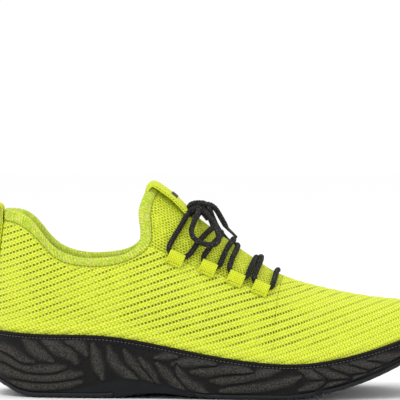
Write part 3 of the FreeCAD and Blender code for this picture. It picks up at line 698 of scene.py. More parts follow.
def speckled_foam():
    """Black moulded foam with a pale speckle that shows most on the raised bands; the grooves between
    the bands take darker colours as painted shade.
    """
    n = Nodes("foam_speckled")
    _, _, raised = n.weave()
    grain = n.noise(1250.0, 2.0, 0.75)
    cloud = n.noise(90.0, 2.0)
    smooth = n.steps(raised, -0.15, -0.85)
    speck = n.steps(grain + (cloud * 0.10 + -0.05), 0.38, 0.66)
    pale = n.mix(speck, (0.013, 0.0128, 0.012), (0.068, 0.064, 0.055))
    # painted shade: the darker colours for the grooves between the raised bands
    dark = n.mix(speck, (0.0035, 0.0035, 0.004), (0.014, 0.0138, 0.013))
    colour = n.mix(n.steps(raised, 0.02, 0.98), dark, pale)
    colour = n.mix(smooth, colour, n.mix(cloud, (0.0055, 0.006, 0.0075), (0.010, 0.011, 0.014)))
    rough = n.steps(grain, 0.3, 0.7, 0.62, 0.85) - smooth * 0.30
    return n.finish(colour, rough, n.bump(grain, 0.16), Specular_IOR_Level=0.15)


def rubber():
    """Smoother blue-grey black rubber, a little shiny, with a fine moulded grain."""
    n = Nodes("rubber_smooth")
    cloud = n.noise(90.0, 3.0)
    grain = n.noise(2400.0, 2.0)
    scuff = n.steps(n.noise(35.0, 4.0, 0.7), 0.50, 0.72)
    colour = n.mix(cloud, (0.006, 0.0065, 0.008), (0.012, 0.013, 0.016))
    colour = n.mix(scuff * 0.20, colour, (0.040, 0.040, 0.044))
    rough = n.steps(cloud, 0.3, 0.7, 0.40, 0.56)
    return n.finish(colour, rough, n.bump(grain, 0.08), Specular_IOR_Level=0.25)


def thread(name, light, dark):
    """Twisted sewing thread."""
    n = Nodes(name)
    length, turn, _ = n.weave()
    twist = n.wave((length * 1.4 + turn * 2.0) * math.tau)
    colour = n.mix(n.steps(twist, -0.8, 0.8), dark, light)
    return n.finish(colour, 0.6, n.bump(twist, 0.08))


def cloth(name, light, dark, scale=900.0):
    """Plain inner fabric with a fine open weave."""
    n = Nodes(name)
    cells = n.add("TexVoronoi", {"Scale": scale, "Vector": n.position()})
    gap = n.steps(Value(n, cells.outputs["Distance"]), 0.15, 0.55)
    tone = gap * n.steps(n.noise(60.0, 2.0), 0.2, 0.8, 0.75, 1.0)
    return n.finish(n.mix(tone, dark, light), 0.9, n.bump(gap, 0.18), Sheen_Weight=0.3,
                    Sheen_Roughness=0.5)


def moulded(name, light, dark, rough, scale):
    """Moulded or pressed sheet: fine grain and faint clouds."""
    n = Nodes(name)
    grain = n.noise(scale, 3.0)
    tone = grain * 0.5 + n.noise(50.0, 2.0) * 0.5
    colour = n.mix(n.steps(tone, 0.3, 0.7), dark, light)
    return n.finish(colour, rough, n.bump(grain, 0.08))


def grey(level):
    return (level, level, level)


KNIT = rib_knit()
PANEL_KNIT = fine_knit()
RIB_BAND = rib_band()
WEBBING = webbing("webbing_lime", (0.78, 0.86, 0.045), (0.50, 0.58, 0.004), 0.9)
HEEL_WEBBING = webbing("webbing_heel", (0.82, 0.87, 0.015), (0.46, 0.50, 0.001), 1.0)
BRAID = braid()
FOAM_BLACK = speckled_foam()
RUBBER = rubber()
STITCH = thread("stitch_grey", (0.13, 0.13, 0.127), grey(0.045))
SEAM_THREAD = thread("seam_thread", (0.40, 0.50, 0.02), (0.16, 0.22, 0.005))
ORANGE_THREAD = thread("tack_thread", (0.80, 0.42, 0.03), (0.50, 0.22, 0.01))
LINING = cloth("lining_lime", (0.66, 0.78, 0.06), (0.34, 0.42, 0.01))
INSOLE_CLOTH = cloth("insole_cloth", (0.045, 0.046, 0.05), (0.012, 0.012, 0.014), 700.0)
PAD_FOAM = moulded("padding_foam", (0.80, 0.80, 0.72), (0.62, 0.62, 0.52), 0.9, 900.0)
STIFFENER = moulded("stiffener", (0.72, 0.70, 0.62), (0.55, 0.53, 0.46), 0.6, 500.0)
BOARD = moulded("board_white", (0.80, 0.80, 0.78), (0.62, 0.62, 0.60), 0.8, 700.0)
TAPE = moulded("tape_white", (0.70, 0.78, 0.26), (0.48, 0.55, 0.12), 0.8, 1200.0)
AGLET = moulded("aglet_black", (0.030, 0.030, 0.032), (0.012, 0.012, 0.013), 0.25, 300.0)
LABEL_BLACK = moulded("label_black", grey(0.020), grey(0.008), 0.6, 800.0)


# ---------------------------------------------------------------- placing pieces


def place(obj, material, body, slot, *nodes):
    """Gives a piece its material, what it rides on and the CAD nodes it stands for; its slot is not
    used.
    """
    if material is not None:
        obj.data.materials.clear()
        obj.data.materials.append(material)
    if body == "flex":
        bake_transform(obj)
    else:
        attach(obj, body)
    if nodes:
        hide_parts(*nodes)
    return obj


def dress(node, material):
    """Gives a CAD node a better material."""
    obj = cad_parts[node]
    obj.data.materials.clear()
    obj.data.materials.append(material)
    obj.data.shade_smooth()


# ---------------------------------------------------------------- knitted upper

COLUMN_STEP = 1.25  # millimetres between columns of points round the upper
KNIT_ROWS = 74
RIB_RELIEF = 0.5
rib_slope = spline([(-150, 0.37), (-60, 0.36), (20, 0.345), (60, 0.30), (100, 0.26), (150, 0.23)])
rib_pitch = spline([(-150, 4.1), (-100, 4.15), (-40, 4.6), (10, 5.0), (60, 5.0), (100, 4.75),
                    (150, 4.3)])
stitch_pitch = spline([(-150, 2.25), (-60, 2.2), (20, 1.95), (150, 1.85)])
FAN_LEVEL = 85.0  # ribs at this level keep their slope while the pitch widens to the toe
RIDGE_TURN, RIDGE_REACH = 0.75, 16.0  # how the stitches turn with the ribs over the toe's ridge
KNIT_TUCK = 4.0  # how far the knit's foot lies below the sole's rim
EDGE_CALM = 3.0  # the ribs flatten over this distance from the knit's upper edge
PANEL_ROLL, ROLL_REACH = 0.75, 2.0  # height and width of the roll along the panel's edge
FOOT_SWELL, SWELL_LEVEL, SWELL_REACH = 0.9, 2.5, 4.0  # the swell of the knit just above the sole


def running(values_at, x):
    """The integral of a function from X = 0, at each x."""
    line = np.linspace(-160, 160, 641)
    total = np.concatenate([[0], np.cumsum((values_at(line)[1:] + values_at(line)[:-1]) / 2)])
    total = (total - np.interp(0, line, total)) * (line[1] - line[0])
    return np.interp(x, line, total)


def girth_level(points):
    """How far each point of a grid is up the side, along its column, from the column's foot."""
    gaps = np.linalg.norm(np.diff(points, axis=0), axis=-1)
    rise = np.concatenate([np.zeros((1, points.shape[1])), np.cumsum(gaps, axis=0)])
    return rise + points[0, :, 2][None, :]


def rib_field(points):
    """For a grid of skin points: stitches along the rib, and ribs counted across."""
    x = points[..., 0]
    wrap = 0.5 - 0.38 * smooth_step(20, 75, x)
    level = points[..., 2] + (girth_level(points) - points[..., 2]) * wrap
    across = level - running(rib_slope, x)
    ribs = (across - FAN_LEVEL) / rib_pitch(x)
    below = girth_level(points)[-1:] - girth_level(points)
    turn = RIDGE_TURN * smooth_step(30, 110, x) * np.exp(-below / RIDGE_REACH) * RIDGE_REACH
    along = (x + 0.35 * level + turn) * 0.944
    return along / stitch_pitch(x), ribs


def rib_height(ribs):
    """Round ribs with narrow valleys between them."""
    return RIB_RELIEF * np.abs(np.sin(np.pi * ribs)) ** 0.8


def outline_columns(step):
    """Values of u that are evenly spaced round the sole's outline."""
    fine = np.linspace(0, 1, 2001)
    x, y, _, _ = sole_edge(fine, LATERAL, SOLE_MARGIN)
    along = chord_lengths(np.stack([x, y], 1))
    count = int(along[-1] / step)
    u = np.interp(np.linspace(0, along[-1], count), along, fine)
    u[0], u[-1] = 0.0, 1.0
    return u


def v_at_height(u, height, side):
    """The v at which each column of the skin reaches a height."""
    low, high = halving(np.zeros_like(u), np.full_like(u, 0.6),
                        lambda v: skin(u, v, side)[..., 2] < height, 30)
    return (low + high) / 2


def ridge_crossing(line):
    """The u at which a side-view line reaches the ridge."""
    return trace(line, LATERAL, 60, to_ridge=True)[-1, 0]


RIDGE_START, RIDGE_STOP = ridge_crossing(SEAM[CORNER_POINT:]), ridge_crossing(PANEL)
close_columns = np.linspace(RIDGE_STOP - 0.014, RIDGE_STOP + 0.006, 28)  # round the panel's front
columns = np.unique(np.concatenate([outline_columns(COLUMN_STEP), close_columns]))
base_x = sole_edge(columns, LATERAL, SOLE_MARGIN)[0]


def openness(x, above_sole, to_edge, to_ridge, at_ridge):
    """How open the knit's holes are, which sets how strong their painted shade is: fewer near the
    sole, the edges, the toe and the ridge.
    """
    clear = smooth_step(0.5, 2.5, to_edge)
    open_knit = smooth_step(3.0, 16.0, above_sole) * (1 - 0.72 * smooth_step(0, 100, x))
    open_knit = open_knit * (1 - 0.38 * smooth_step(-40, -85, x))
    open_knit = open_knit * smooth_step(0.01, 0.16, to_ridge)
    open_knit = open_knit * np.where(at_ridge, 1.0, clear)
    under_collar = np.exp(-to_edge / 12.0) * (1 - smooth_step(-125, -85, x))
    return open_knit + 0.5 * under_collar * clear


def quarter_grid(side):
    """One side of the ribbed knit, from inside the sole's rim up to the seam, panel or ridge."""
    seam = trace(SEAM[:CORNER_POINT + 1], side, 160, from_heel=True)
    panel = trace(PANEL, side, 140, to_ridge=True)
    edge = np.concatenate([seam, panel[1:]])
    top = np.interp(columns, edge[:, 0], edge[:, 1])
    top = np.where(columns > edge[-1, 0], 1.0, top)
    low = v_at_height(columns, sole_rim(base_x) - KNIT_TUCK, side)
    share = np.linspace(0, 1, KNIT_ROWS)[:, None]
    v = low[None, :] + (top - low)[None, :] * share
    v = np.where(v > 1 - 1e-9, 1.0, v)
    u = np.broadcast_to(columns[None, :], v.shape)
    flat = skin(u, v, side)
    run, ribs = rib_field(flat)
    to_edge = np.linalg.norm(flat - flat[-1:, :], axis=-1)
    at_ridge = (top == 1.0)[None, :]
    calm = np.where(at_ridge, 1.0, smooth_step(0.0, EDGE_CALM, to_edge))
    height = rib_height(ribs) * calm
    on_panel = (columns > seam[-1, 0])[None, :] & ~at_ridge
    height = height + np.where(on_panel, PANEL_ROLL * np.exp(-(to_edge / ROLL_REACH) ** 2), 0.0)
    above_sole = flat[..., 2] - sole_rim(flat[..., 0])
    height = height + FOOT_SWELL * np.exp(-((above_sole - SWELL_LEVEL) / SWELL_REACH) ** 2)
    to_ridge = (1 - v) * np.where(at_ridge, 1.0, 9.0)
    open_knit = openness(flat[..., 0], above_sole, to_edge, to_ridge, at_ridge)
    return on_skin(u, v, side, height), weave_of(run, ribs, open_knit)


def knit_upper():
    """The ribbed knit of both sides, one piece from the heel round the toe."""
    obj = both_sides("knit_shell", quarter_grid, thickness=1.9)
    place(obj, KNIT, "flex", "knit_lime", "knit_upper")


def coons(bottom, top, left, right):
    """A grid of (u, v) inside four edges: bottom and top run along, left and right run up."""
    rows, count = len(left), len(bottom)
    s = np.linspace(0, 1, count)[None, :, None]
    t = np.linspace(0, 1, rows)[:, None, None]
    between = (1 - t) * bottom[None] + t * top[None]
    sideways = (1 - s) * left[:, None] + s * right[:, None]
    corners = ((1 - s) * (1 - t) * bottom[0] + s * (1 - t) * bottom[-1]
               + (1 - s) * t * top[0] + s * t * top[-1])
    return between + sideways - corners


PANEL_COLUMNS, PANEL_ROWS = 84, 46
FINE_PITCH = 2.3  # of the instep knit's pits


def panel_grid(side):
    """One side of the instep panel, between the seam, the ribbed knit and the ridge."""
    bottom = trace(PANEL, side, PANEL_COLUMNS, to_ridge=True)
    left = trace(SEAM[CORNER_POINT:], side, PANEL_ROWS, to_ridge=True)
    left[0] = bottom[0]
    top_u = np.linspace(RIDGE_START, RIDGE_STOP, PANEL_COLUMNS)
    top = np.stack([top_u, np.ones(PANEL_COLUMNS)], 1)
    left[-1] = top[0]
    bottom[-1] = top[-1]
    right = np.broadcast_to(top[-1], (PANEL_ROWS, 2))
    grid = coons(bottom, top, left, right)
    grid[-1, :, 1] = 1.0
    u, v = grid[..., 0], np.minimum(grid[..., 1], 1.0)
    flat = skin(u, v, side)
    along = flat[..., 0] * 0.81 - flat[..., 2] * 0.585
    level = girth_level(flat)
    below = level[-1:] - level
    high = 1 - smooth_step(4.0, 30.0, below)
    weave = weave_of(along / FINE_PITCH, below / (FINE_PITCH * 0.80), high)
    puff = 0.35 * np.sin(np.pi * np.linspace(0, 1, PANEL_ROWS))[:, None] * np.ones_like(u)
    return on_skin(u, v, side, puff - 0.05), weave


def instep_panel():
    """The finer knit under the laces."""
    obj = both_sides("panel_shell", panel_grid, thickness=1.7)
    place(obj, PANEL_KNIT, "shoe", "knit_fine", "instep_panel")


# ---------------------------------------------------------------- collar

BAND_STATIONS, BAND_RINGS = 260, 34
BAND_WIDE = 6.0  # about how wide the band is from seam to lip
BAND_RIB, RIB_RIPPLE = 1.9, 0.24  # pitch and height of the collar's crosswise ribs
# The rolled band's section: how far from seam (0) to lip (1), and height above the skin.
BAND_SECTION = [(-0.06, -0.6), (0.0, 0.35), (0.16, 1.0), (0.40, 1.45), (0.65, 1.45), (0.88, 0.95),
                (1.02, 0.0), (1.10, -1.4), (1.08, -3.0), (0.92, -4.5), (0.62, -5.6), (0.30, -6.1),
                (-0.05, -6.2)]


def band_rails(side):
    seam = trace(SEAM, side, BAND_STATIONS, from_heel=True, to_ridge=True)
    lip = trace(LIP, side, BAND_STATIONS, from_heel=True, to_ridge=True)
    return seam, lip


def collar_grid(side):
    """One side of the rolled collar band, as rings across it from outside to inside."""
    seam, lip = band_rails(side)
    section = np.array(BAND_SECTION)
    places, rings = curve_through(section, BAND_RINGS, section * (BAND_WIDE, 1.0))
    share, height = rings.T
    base, crest = skin(*seam.T, side), skin(*lip.T, side)
    normal = unit(skin_normal(*seam.T, side) + skin_normal(*lip.T, side))
    along = chord_lengths(base)
    ripple = RIB_RIPPLE * np.cos(along * 2 * np.pi / BAND_RIB)[None, :]
    ripple = ripple * smooth_step(-5, 1, height)[:, None]
    station = np.linspace(0, 1, BAND_STATIONS)[None, :]
    bulge = height[:, None] * (1 - 0.75 * (1 - smooth_step(0.03, 0.14, station)))
    deep = height[:, None] * (1 - 0.35 * smooth_step(0.86, 1.0, station))
    height = np.where(height[:, None] > 0, bulge, deep)
    points = base[None] + (crest - base)[None] * share[:, None, None]
    points = points + normal[None] * (height + ripple)[..., None]
    for end in (0, -1):
        points[:, end, 1] = (skin(*seam[end], side)[1] + skin(*lip[end], side)[1]) / 2
    weave = weave_of(along[None, :] / BAND_RIB, places[:, None])
    return points, weave


def collar_band():
    """The rolled rib band round the ankle opening."""
    obj = both_sides("collar_roll", collar_grid, thickness=0.7, weld=WIDE_WELD)
    place(obj, RIB_BAND, "shoe", "rib_band", "collar_band")


# Stitches of each sewn row: their length, pitch and radius.
COLLAR_STITCH = (1.9, 2.4, 0.34)
SOLE_STITCH = (1.7, 2.3, 0.38)
LOOP_STITCH = (1.1, 1.5, 0.20)
TACK_STITCH = (1.0, 1.3, 0.42)
TAB_STITCH = (1.5, 2.1, 0.20)
HEEL_STITCH = (1.6, 2.2, 0.24)


def dashes(name, path, outward, length, pitch, radius):
    """A row of stitches along a path: each a short rounded bar that dips at both ends."""
    along = chord_lengths(path)
    starts = np.arange(pitch / 2, along[-1] - length, pitch)
    points, faces, weave = [], [], []
    around, rings = 6, 5
    angle = np.linspace(0, 2 * np.pi, around, endpoint=False)
    t = np.linspace(0, 1, rings)
    thin = np.sqrt(np.clip(1 - (2 * t - 1) ** 4, 0.05, 1))
    for start in starts:
        places = start + t * length
        centre = chain_at(places, along, path)
        out = unit(chain_at(places, along, outward))
        tangent = unit(np.gradient(centre, axis=0))
        up = np.cross(tangent, out)
        centre = centre + out * (radius * 0.6 * np.sin(np.pi * t) - radius * 0.2)[:, None]
        solid = centre[:, None] + circles(out, up, angle) * (radius * thin)[:, None, None]
        offset = len(points)
        faces += grid_faces(rings, around, offset, closed=True)
        faces.append(tuple(offset + k for k in range(around))[::-1])
        faces.append(tuple(offset + (rings - 1) * around + k for k in range(around)))
        points += list(solid.reshape(-1, 3))
        weave += [(places[i], angle[j] / (2 * np.pi), 0) for i in range(rings) for j in range(around)]
    return new_mesh(name, points, faces, weave)


def collar_seam():
    """The sewn line at the foot of the collar band."""
    halves = []
    for side, word in SIDES:
        seam, _ = band_rails(side)
        path = on_skin(*seam.T, side, np.full(len(seam), 0.35))
        halves.append(dashes("seam_" + word, path, skin_normal(*seam.T, side), *COLLAR_STITCH))
    obj = joined("collar_seam_stitch", halves)
    place(obj, SEAM_THREAD, "shoe", "rib_band")


def layer_between(name, low_line, high_line, height, thickness, stations, rows, crown=0.0):
    """A layer between two side-view lines, at a height above the skin less a crown inwards."""
    grids = []
    for side, _ in SIDES:
        low = trace(low_line, side, stations, from_heel=True)
        high = trace(high_line, side, stations, from_heel=True)
        t = np.linspace(0, 1, rows)[:, None]
        u = low[None, :, 0] * (1 - t) + high[None, :, 0] * t
        v = low[None, :, 1] * (1 - t) + high[None, :, 1] * t
        swell = crown * np.sin(np.pi * t) * np.sin(np.pi * np.linspace(0, 1, stations) * 0.5 + 0.5)
        grids.append((on_skin(u, v, side, height - swell), side == MEDIAL))
    return sheet_mesh(name, grids, thickness=thickness, weld=WIDE_WELD)


def collar_layers():
    """The padding round the ankle, and the lining over it."""
    pad = layer_between("collar_padding", PAD_LOW, SEAM[:CORNER_POINT + 1], -2.5, 3.0, 120, 20, 0.4)
    place(pad, PAD_FOAM, "shoe", "padding_foam", "collar_foam")
    lining = layer_between("collar_cloth", PAD_LOW, SEAM[:CORNER_POINT + 1], -6.0, 0.7, 120, 24, 0.8)
    place(lining, LINING, "shoe", "lining_lime", "collar_lining")


# ---------------------------------------------------------------- sole

RUBBER_RANGES = {"outsole_heel": (-160.0, -64.0), "outsole_forefoot": (-14.0, 60.0),
                 "outsole_toe": (64.0, 160.0)}
RUBBER_THICKNESS = 3.2
# Raised bands of the side wall as lines in side view, each with its half-width.
BANDS = [
    # nested bowls at the heel
    (2.3, [(-138, 31.5), (-126.6, 27.3), (-120.5, 23.6), (-113.4, 22.1)]),
    (2.2, [(-140, 26.6), (-128, 22.9), (-120.5, 18.6), (-109.5, 17.1), (-100, 18.0), (-93.8, 19.2)]),
    (2.2, [(-138, 19.6), (-123.5, 14.3), (-114, 12.5), (-104.6, 12.1), (-92.4, 13.4), (-83.9, 15.3)]),
    (1.9, [(-131, 8.6), (-114, 7.1), (-98.5, 7.7), (-83.9, 10.2)]),
    # short bars that lean inside them
    (2.6, [(-118.6, 35.7), (-110.9, 28.6), (-104.6, 24.9), (-101.6, 22.9)]),
    (2.8, [(-106.4, 35.1), (-98.5, 30.8), (-90.6, 27.1), (-86.6, 22.3)]),
    (2.6, [(-92.4, 34.5), (-83.9, 31.7), (-80.5, 27.0)]),
    # steep lines falling to the toe through the waist
    (2.2, [(-76.6, 33.2), (-73.5, 21.7), (-70.5, 12.5)]),
    (2.1, [(-66.8, 31.7), (-62.5, 21.7), (-55, 15.3), (-48.5, 10.7)]),
    (1.9, [(-57.0, 29.5), (-52.5, 22.5), (-43, 14.0), (-38.0, 9.0)]),
    (2.0, [(-47.3, 24.7), (-42, 17.0), (-36.3, 9.2)]),
    (2.0, [(-36.9, 21.7), (-27.8, 12.5), (-20.4, 6.0)]),
    (1.9, [(-25.0, 21.7), (-21.7, 13.7), (-12.5, 7.0), (-5.8, 3.6)]),
    # nested lenses at the midfoot and ball
    (1.7, [(-38.1, 25.5), (-31.0, 26.4), (-25.0, 26.3)]),
    (2.0, [(-27.3, 21.7), (-13.1, 23.2), (-1.5, 21.7)]),
    (2.0, [(-15.6, 17.0), (-1.5, 17.7), (10.7, 18.6), (22.0, 17.2)]),
    (1.9, [(-3.4, 11.5), (13.7, 13.1), (25.3, 16.2), (37.3, 18.6)]),
    (1.8, [(2.0, 5.6), (21.7, 7.6), (37.3, 10.1), (50.3, 14.6)]),
    # arrow-shaped bands at the toe
    (2.0, [(50.3, 19.2), (58.1, 16.2), (65.9, 13.1)]),
    (2.0, [(60.1, 19.2), (69.8, 15.6), (81.4, 13.3)]),
    (2.0, [(70.5, 20.7), (81.4, 19.2), (91.6, 17.2)]),
    (2.0, [(81.4, 22.6), (93.0, 21.5), (101, 21.2)]),
    (1.8, [(92.7, 24.9), (101, 25.7), (108.7, 26.1), (118, 29.0)]),
    (1.8, [(50.3, 6.4), (56.2, 8.2), (61.9, 10.2), (65.9, 13.1)]),
    (1.8, [(58.1, 4.0), (65.9, 7.0), (72.5, 10.7), (81.4, 13.3)]),
    (1.8, [(75.6, 7.4), (79.9, 10.2), (83.4, 12.9), (91.6, 17.2)]),
    (1.8, [(91.2, 13.3), (95.5, 16.8), (101, 21.2)]),
    (1.8, [(104.4, 18.7), (111.3, 24.9), (118, 29.0)]),
    (1.8, [(112, 31.0), (122, 35.0), (133, 39.0)]),
    (1.8, [(118, 26.0), (127, 31.5), (137, 38.0)]),
]
BAND_RELIEF = 1.8
BAND_SPREAD = 2.7  # half-widths at which a band with no neighbour has faded out
GROOVE_STEP = 1.0  # half-widths over which the wall falls into the groove between two bands
# Height above the tread of the smooth band along the foot of the wall.
smooth_height = spline([(-142, 6.0), (-120, 4.0), (-100, 4.4), (-80, 7.0), (-62, 10.0), (-48, 8.5),
                        (-30, 4.2), (0, 3.6), (40, 4.0), (80, 4.4), (142, 6.0)])


def band_field(x, z):
    """How raised the side wall is at each (x, z): 1 along a band's middle, 0 in the grooves."""
    flat = np.stack([x.ravel(), z.ravel()], 1)
    nearest = np.full(len(flat), 9.0)
    second = np.full(len(flat), 9.0)
    for half_width, line in BANDS:
        places, curve = curve_through(line)
        near = np.hypot(flat[:, None, 0] - curve[None, :, 0], flat[:, None, 1] - curve[None, :, 1])
        end = np.minimum(places, places[-1] - places)
        taper = 0.45 + 0.55 * smooth_step(0, 7.0, end)
        reach = near.min(1) / (half_width * taper[near.argmin(1)])
        second = np.minimum(second, np.maximum(nearest, reach))
        nearest = np.minimum(nearest, reach)
    body = 1 - smooth_step(0.0, BAND_SPREAD, nearest)
    groove = smooth_step(0.0, GROOVE_STEP, second - nearest)
    return (body * groove).reshape(x.shape)


def rubber_top(x):
    """How far the rubber comes up the wall at each X."""
    up = np.zeros_like(x)
    soft = 0.6
    for low, high in RUBBER_RANGES.values():
        begun, ended = smooth_step(low - soft, low + soft, x), smooth_step(high - soft, high + soft, x)
        up = np.maximum(up, begun * (1 - ended))
    return up * RUBBER_THICKNESS


STITCH_DROP = 2.0
WALL_ROWS = 44
WALL_BELLY = 0.48  # how far the wall swells out half way down
sole_columns = outline_columns(1.15)


def sole_wall(side):
    """One side of the midsole: footbed, inner wall, rim, stitch groove, side wall, underside."""
    u = sole_columns
    outline_x = sole_edge(u, side)[0]
    top = sole_rim(outline_x)
    low = sole_bottom(outline_x) + rubber_top(outline_x)
    bed = footbed(outline_x)
    rings = [  # inset from the outline and height, from the inside round to the underside
        (14.0, bed - 0.4), (7.0, bed - 0.4), (5.4, bed + 0.3), (4.9, (bed + top) / 2),
        (4.4, top - 1.2), (3.7, top - 0.15), (2.4, top + 0.25), (1.1, top + 0.1),
        (0.4, top - 0.2), (0.1, top - 0.6), (0.05, top - 1.1), (0.25, top - 1.4),
        (0.7, top - 1.6), (0.85, top - STITCH_DROP), (0.7, top - 2.4), (0.25, top - 2.6),
    ]
    under = [(0.7, low), (2.0, low), (14.0, low)]
    wall_top = top - 2.9
    t = np.linspace(0, 1, WALL_ROWS)[:, None]
    wall = wall_top[None] + (low + 0.5 - wall_top)[None] * t
    raised = band_field(np.broadcast_to(outline_x, wall.shape), wall)
    over_smooth = wall - sole_bottom(outline_x) - smooth_height(outline_x)
    smooth = 1 - smooth_step(-0.8, 0.8, over_smooth)
    raised = raised * (1 - 0.8 * smooth)
    fade = smooth_step(0.0, 0.06, t)
    wall_inset = 0.55 * fade - BAND_RELIEF * raised * fade - WALL_BELLY * np.sin(np.pi * t) ** 1.5
    ring_inset, under_inset = [np.array([r[0] for r in part])[:, None] * np.ones_like(u)[None]
                               for part in (rings, under)]
    inset = np.concatenate([ring_inset, wall_inset, under_inset])
    height = np.concatenate([[r[1] for r in rings], wall, [r[1] for r in under]])
    x, y, out_x, out_y = sole_edge(u, side)
    points = np.stack([x - inset * out_x, y - inset * out_y, height], -1)
    wall_shade = raised * (1 - smooth) - smooth
    shade = np.concatenate([np.full((len(rings), len(u)), 0.05), wall_shade,
                            -np.ones((len(under), len(u)))])
    return points, weave_of(points[..., 0], points[..., 2], shade)


def midsole():
    """The foam sole unit, its two walls joined across the footbed and the underside."""
    grids, weaves, inner = [], [], {}
    for side, _ in SIDES:
        points, weave = sole_wall(side)
        grids.append((points, side == LATERAL))
        weaves.append(weave)
        inner[side] = points
    for row in (0, -1):
        strip = np.stack([inner[LATERAL][row], inner[MEDIAL][row]])
        grids.append((strip, row == -1))
        weaves.append(weave_of(strip[..., 0], strip[..., 2]))
    obj = sheet_mesh("midsole_foam", grids, weaves)
    place(obj, FOAM_BLACK, "flex", "foam_black", "midsole")


def sole_stitch():
    """The row of pale stitches that lies in the groove below the sole's top edge."""
    halves = []
    for side, word in SIDES:
        u = outline_columns(2.0)
        x, y, out_x, out_y = sole_edge(u, side, 0.35)
        path = np.stack([x, y, sole_rim(x) - STITCH_DROP], 1)
        outward = np.stack([out_x, out_y, np.zeros_like(x)], 1)
        halves.append(dashes("stitches_" + word, path, outward, *SOLE_STITCH))
    obj = joined("sole_stitches", halves)
    place(obj, STITCH, "flex", "stitch_grey", "sole_stitch")


# ---------------------------------------------------------------- lace loops

LOOPS = [(-25.6, 85.6), (-5.9, 79.4), (10.9, 72.6), (26.2, 66.4)]  # x and z of each loop's ring
ROW_DIRECTION = np.array([0.906, 0.0, -0.423])  # the loops' row falls towards the toe
LOOP_WIDTH, LOOP_THICKNESS = 10.0, 0.75
SEW_PLACE = (4.7, 2.46)  # of a loop's sewn line: down the foot and out
LOOP_LACE_HEIGHT = 3.1  # of the lace's centre above the skin, inside a loop
# A loop in side view: up the foot, and height above the skin, from the sewn end round the lace
# and back to the sewn end on top.
LOOP_PROFILE = [(-5.9, 1.2), (-4.0, 1.2), (-1.8, 1.15), (0.3, 1.25), (1.8, 1.8), (2.35, 3.1),
                (1.8, 4.4), (0.3, 5.0), (-1.5, 4.6), (-3.0, 3.3), (-4.3, 2.15), (-5.9, 1.9)]


def loop_frame(number, side):
    """A loop's foot on the skin, and the directions forward, up the foot and out."""
    x, z = LOOPS[number - 1]
    u, v, _ = find_on_skin(x, z, side)
    out = skin_normal(u, v, side)[0]
    up = (skin(u, v + 0.05, side) - skin(u, v - 0.05, side))[0]
    forward = unit(ROW_DIRECTION - out * (ROW_DIRECTION @ out))
    up = unit(up - out * (up @ out) - forward * (up @ forward))
    return skin(u, v, side)[0], forward, up, out


def row_of_stitches(name, start, stop, outward, size):
    """A straight row of stitches between two points."""
    share = np.linspace(0, 1, 30)[:, None]
    path = start * (1 - share) + stop * share
    return dashes(name, path, np.broadcast_to(outward, path.shape), *size)


def lace_loop(number, side, word):
    """A strip of webbing folded round the lace and sewn down by its two ends."""
    foot, forward, up, out = loop_frame(number, side)
    profile = rounded(LOOP_PROFILE, 46)
    path = foot + profile[:, :1] * up + profile[:, 1:] * out
    name = "lace_loop_%s_%d" % (word, number)
    band = coloured(swept_strip(name + "_band", path, forward * side, LOOP_WIDTH, LOOP_THICKNESS),
                    WEBBING)
    sewn = foot - up * SEW_PLACE[0] + out * SEW_PLACE[1]
    reach = forward * (LOOP_WIDTH / 2 - 0.8)
    line = coloured(row_of_stitches(name + "_line", sewn - reach, sewn + reach, out, LOOP_STITCH),
                    SEAM_THREAD)
    corner = sewn - forward * 4.7 - up * 0.9 + out * 0.25
    tack = coloured(row_of_stitches(name + "_tack", corner, corner + forward * 2.6, out,
                                    TACK_STITCH), ORANGE_THREAD)
    place(joined(name + "_webbing", [band, line, tack]), None, "shoe", "webbing_lime", name)


# ---------------------------------------------------------------- laces

LACE_RADIUS = 1.5
BRAID_RELIEF = 0.26
STRAND_HEIGHT = 2.7
OVER_HEIGHT = 5.8
CROSSING_BEND = 3.2
REAR_LEAN = 0.014  # how far the rear pair of strands leans forward at the ridge
CORNER = LOOP_WIDTH / 2 + 1.3
ACROSS_SHARES = (0.18, 0.38, 0.62, 0.82)
LACE_SPACING = 0.42  # between a lace's rings of points
BAR_SHIFTS = (-0.8, 0.6)  # in X, of the front bar's two points next to its first loop
TAIL_TIP, TAIL_TAPER = 0.78, (1.5, 5.0)  # a free end's radius in its aglet, and where it widens
KNOT = np.array([-12.0, 0.0, 116.0])


def loop_ends(number, side):
    """The corners of the lace's route at a loop's front and rear ends."""
    foot, forward, up, out = loop_frame(number, side)
    centre = foot + out * LOOP_LACE_HEIGHT
    return centre + forward * CORNER, centre - forward * CORNER


def strand(start, end, side, over=False, lean=0.0):
    """Route points from a corner on one side to a corner on the other, across the ridge.

    lean moves the middle forward, as a share of the outline."""
    u_start, v_start, _ = find_on_skin(start[0], start[2] - 1.0, side)
    u_end, v_end, _ = find_on_skin(end[0], end[2] - 1.0, -side)
    points = []
    crossing = ACROSS_SHARES[2] if side == LATERAL else ACROSS_SHARES[1]
    for share in ACROSS_SHARES:
        across = side * ((1 - v_start) * (1 - share) - (1 - v_end) * share)
        if side == LATERAL:
            slide = share ** CROSSING_BEND
        else:
            slide = 1 - (1 - share) ** CROSSING_BEND
        here = MEDIAL if across[0] > 0 else LATERAL
        height = OVER_HEIGHT if over and share == crossing else STRAND_HEIGHT
        u = u_start + (u_end - u_start) * slide + lean * math.sin(math.pi * share)
        points.append(on_skin(u, 1 - abs(across), here, height)[0])
    return points


def on_side(x, z, side, height):
    """A point above the skin at this x and z."""
    u, v, _ = find_on_skin(x, z, side)
    return on_skin(u, v, side, height)[0]


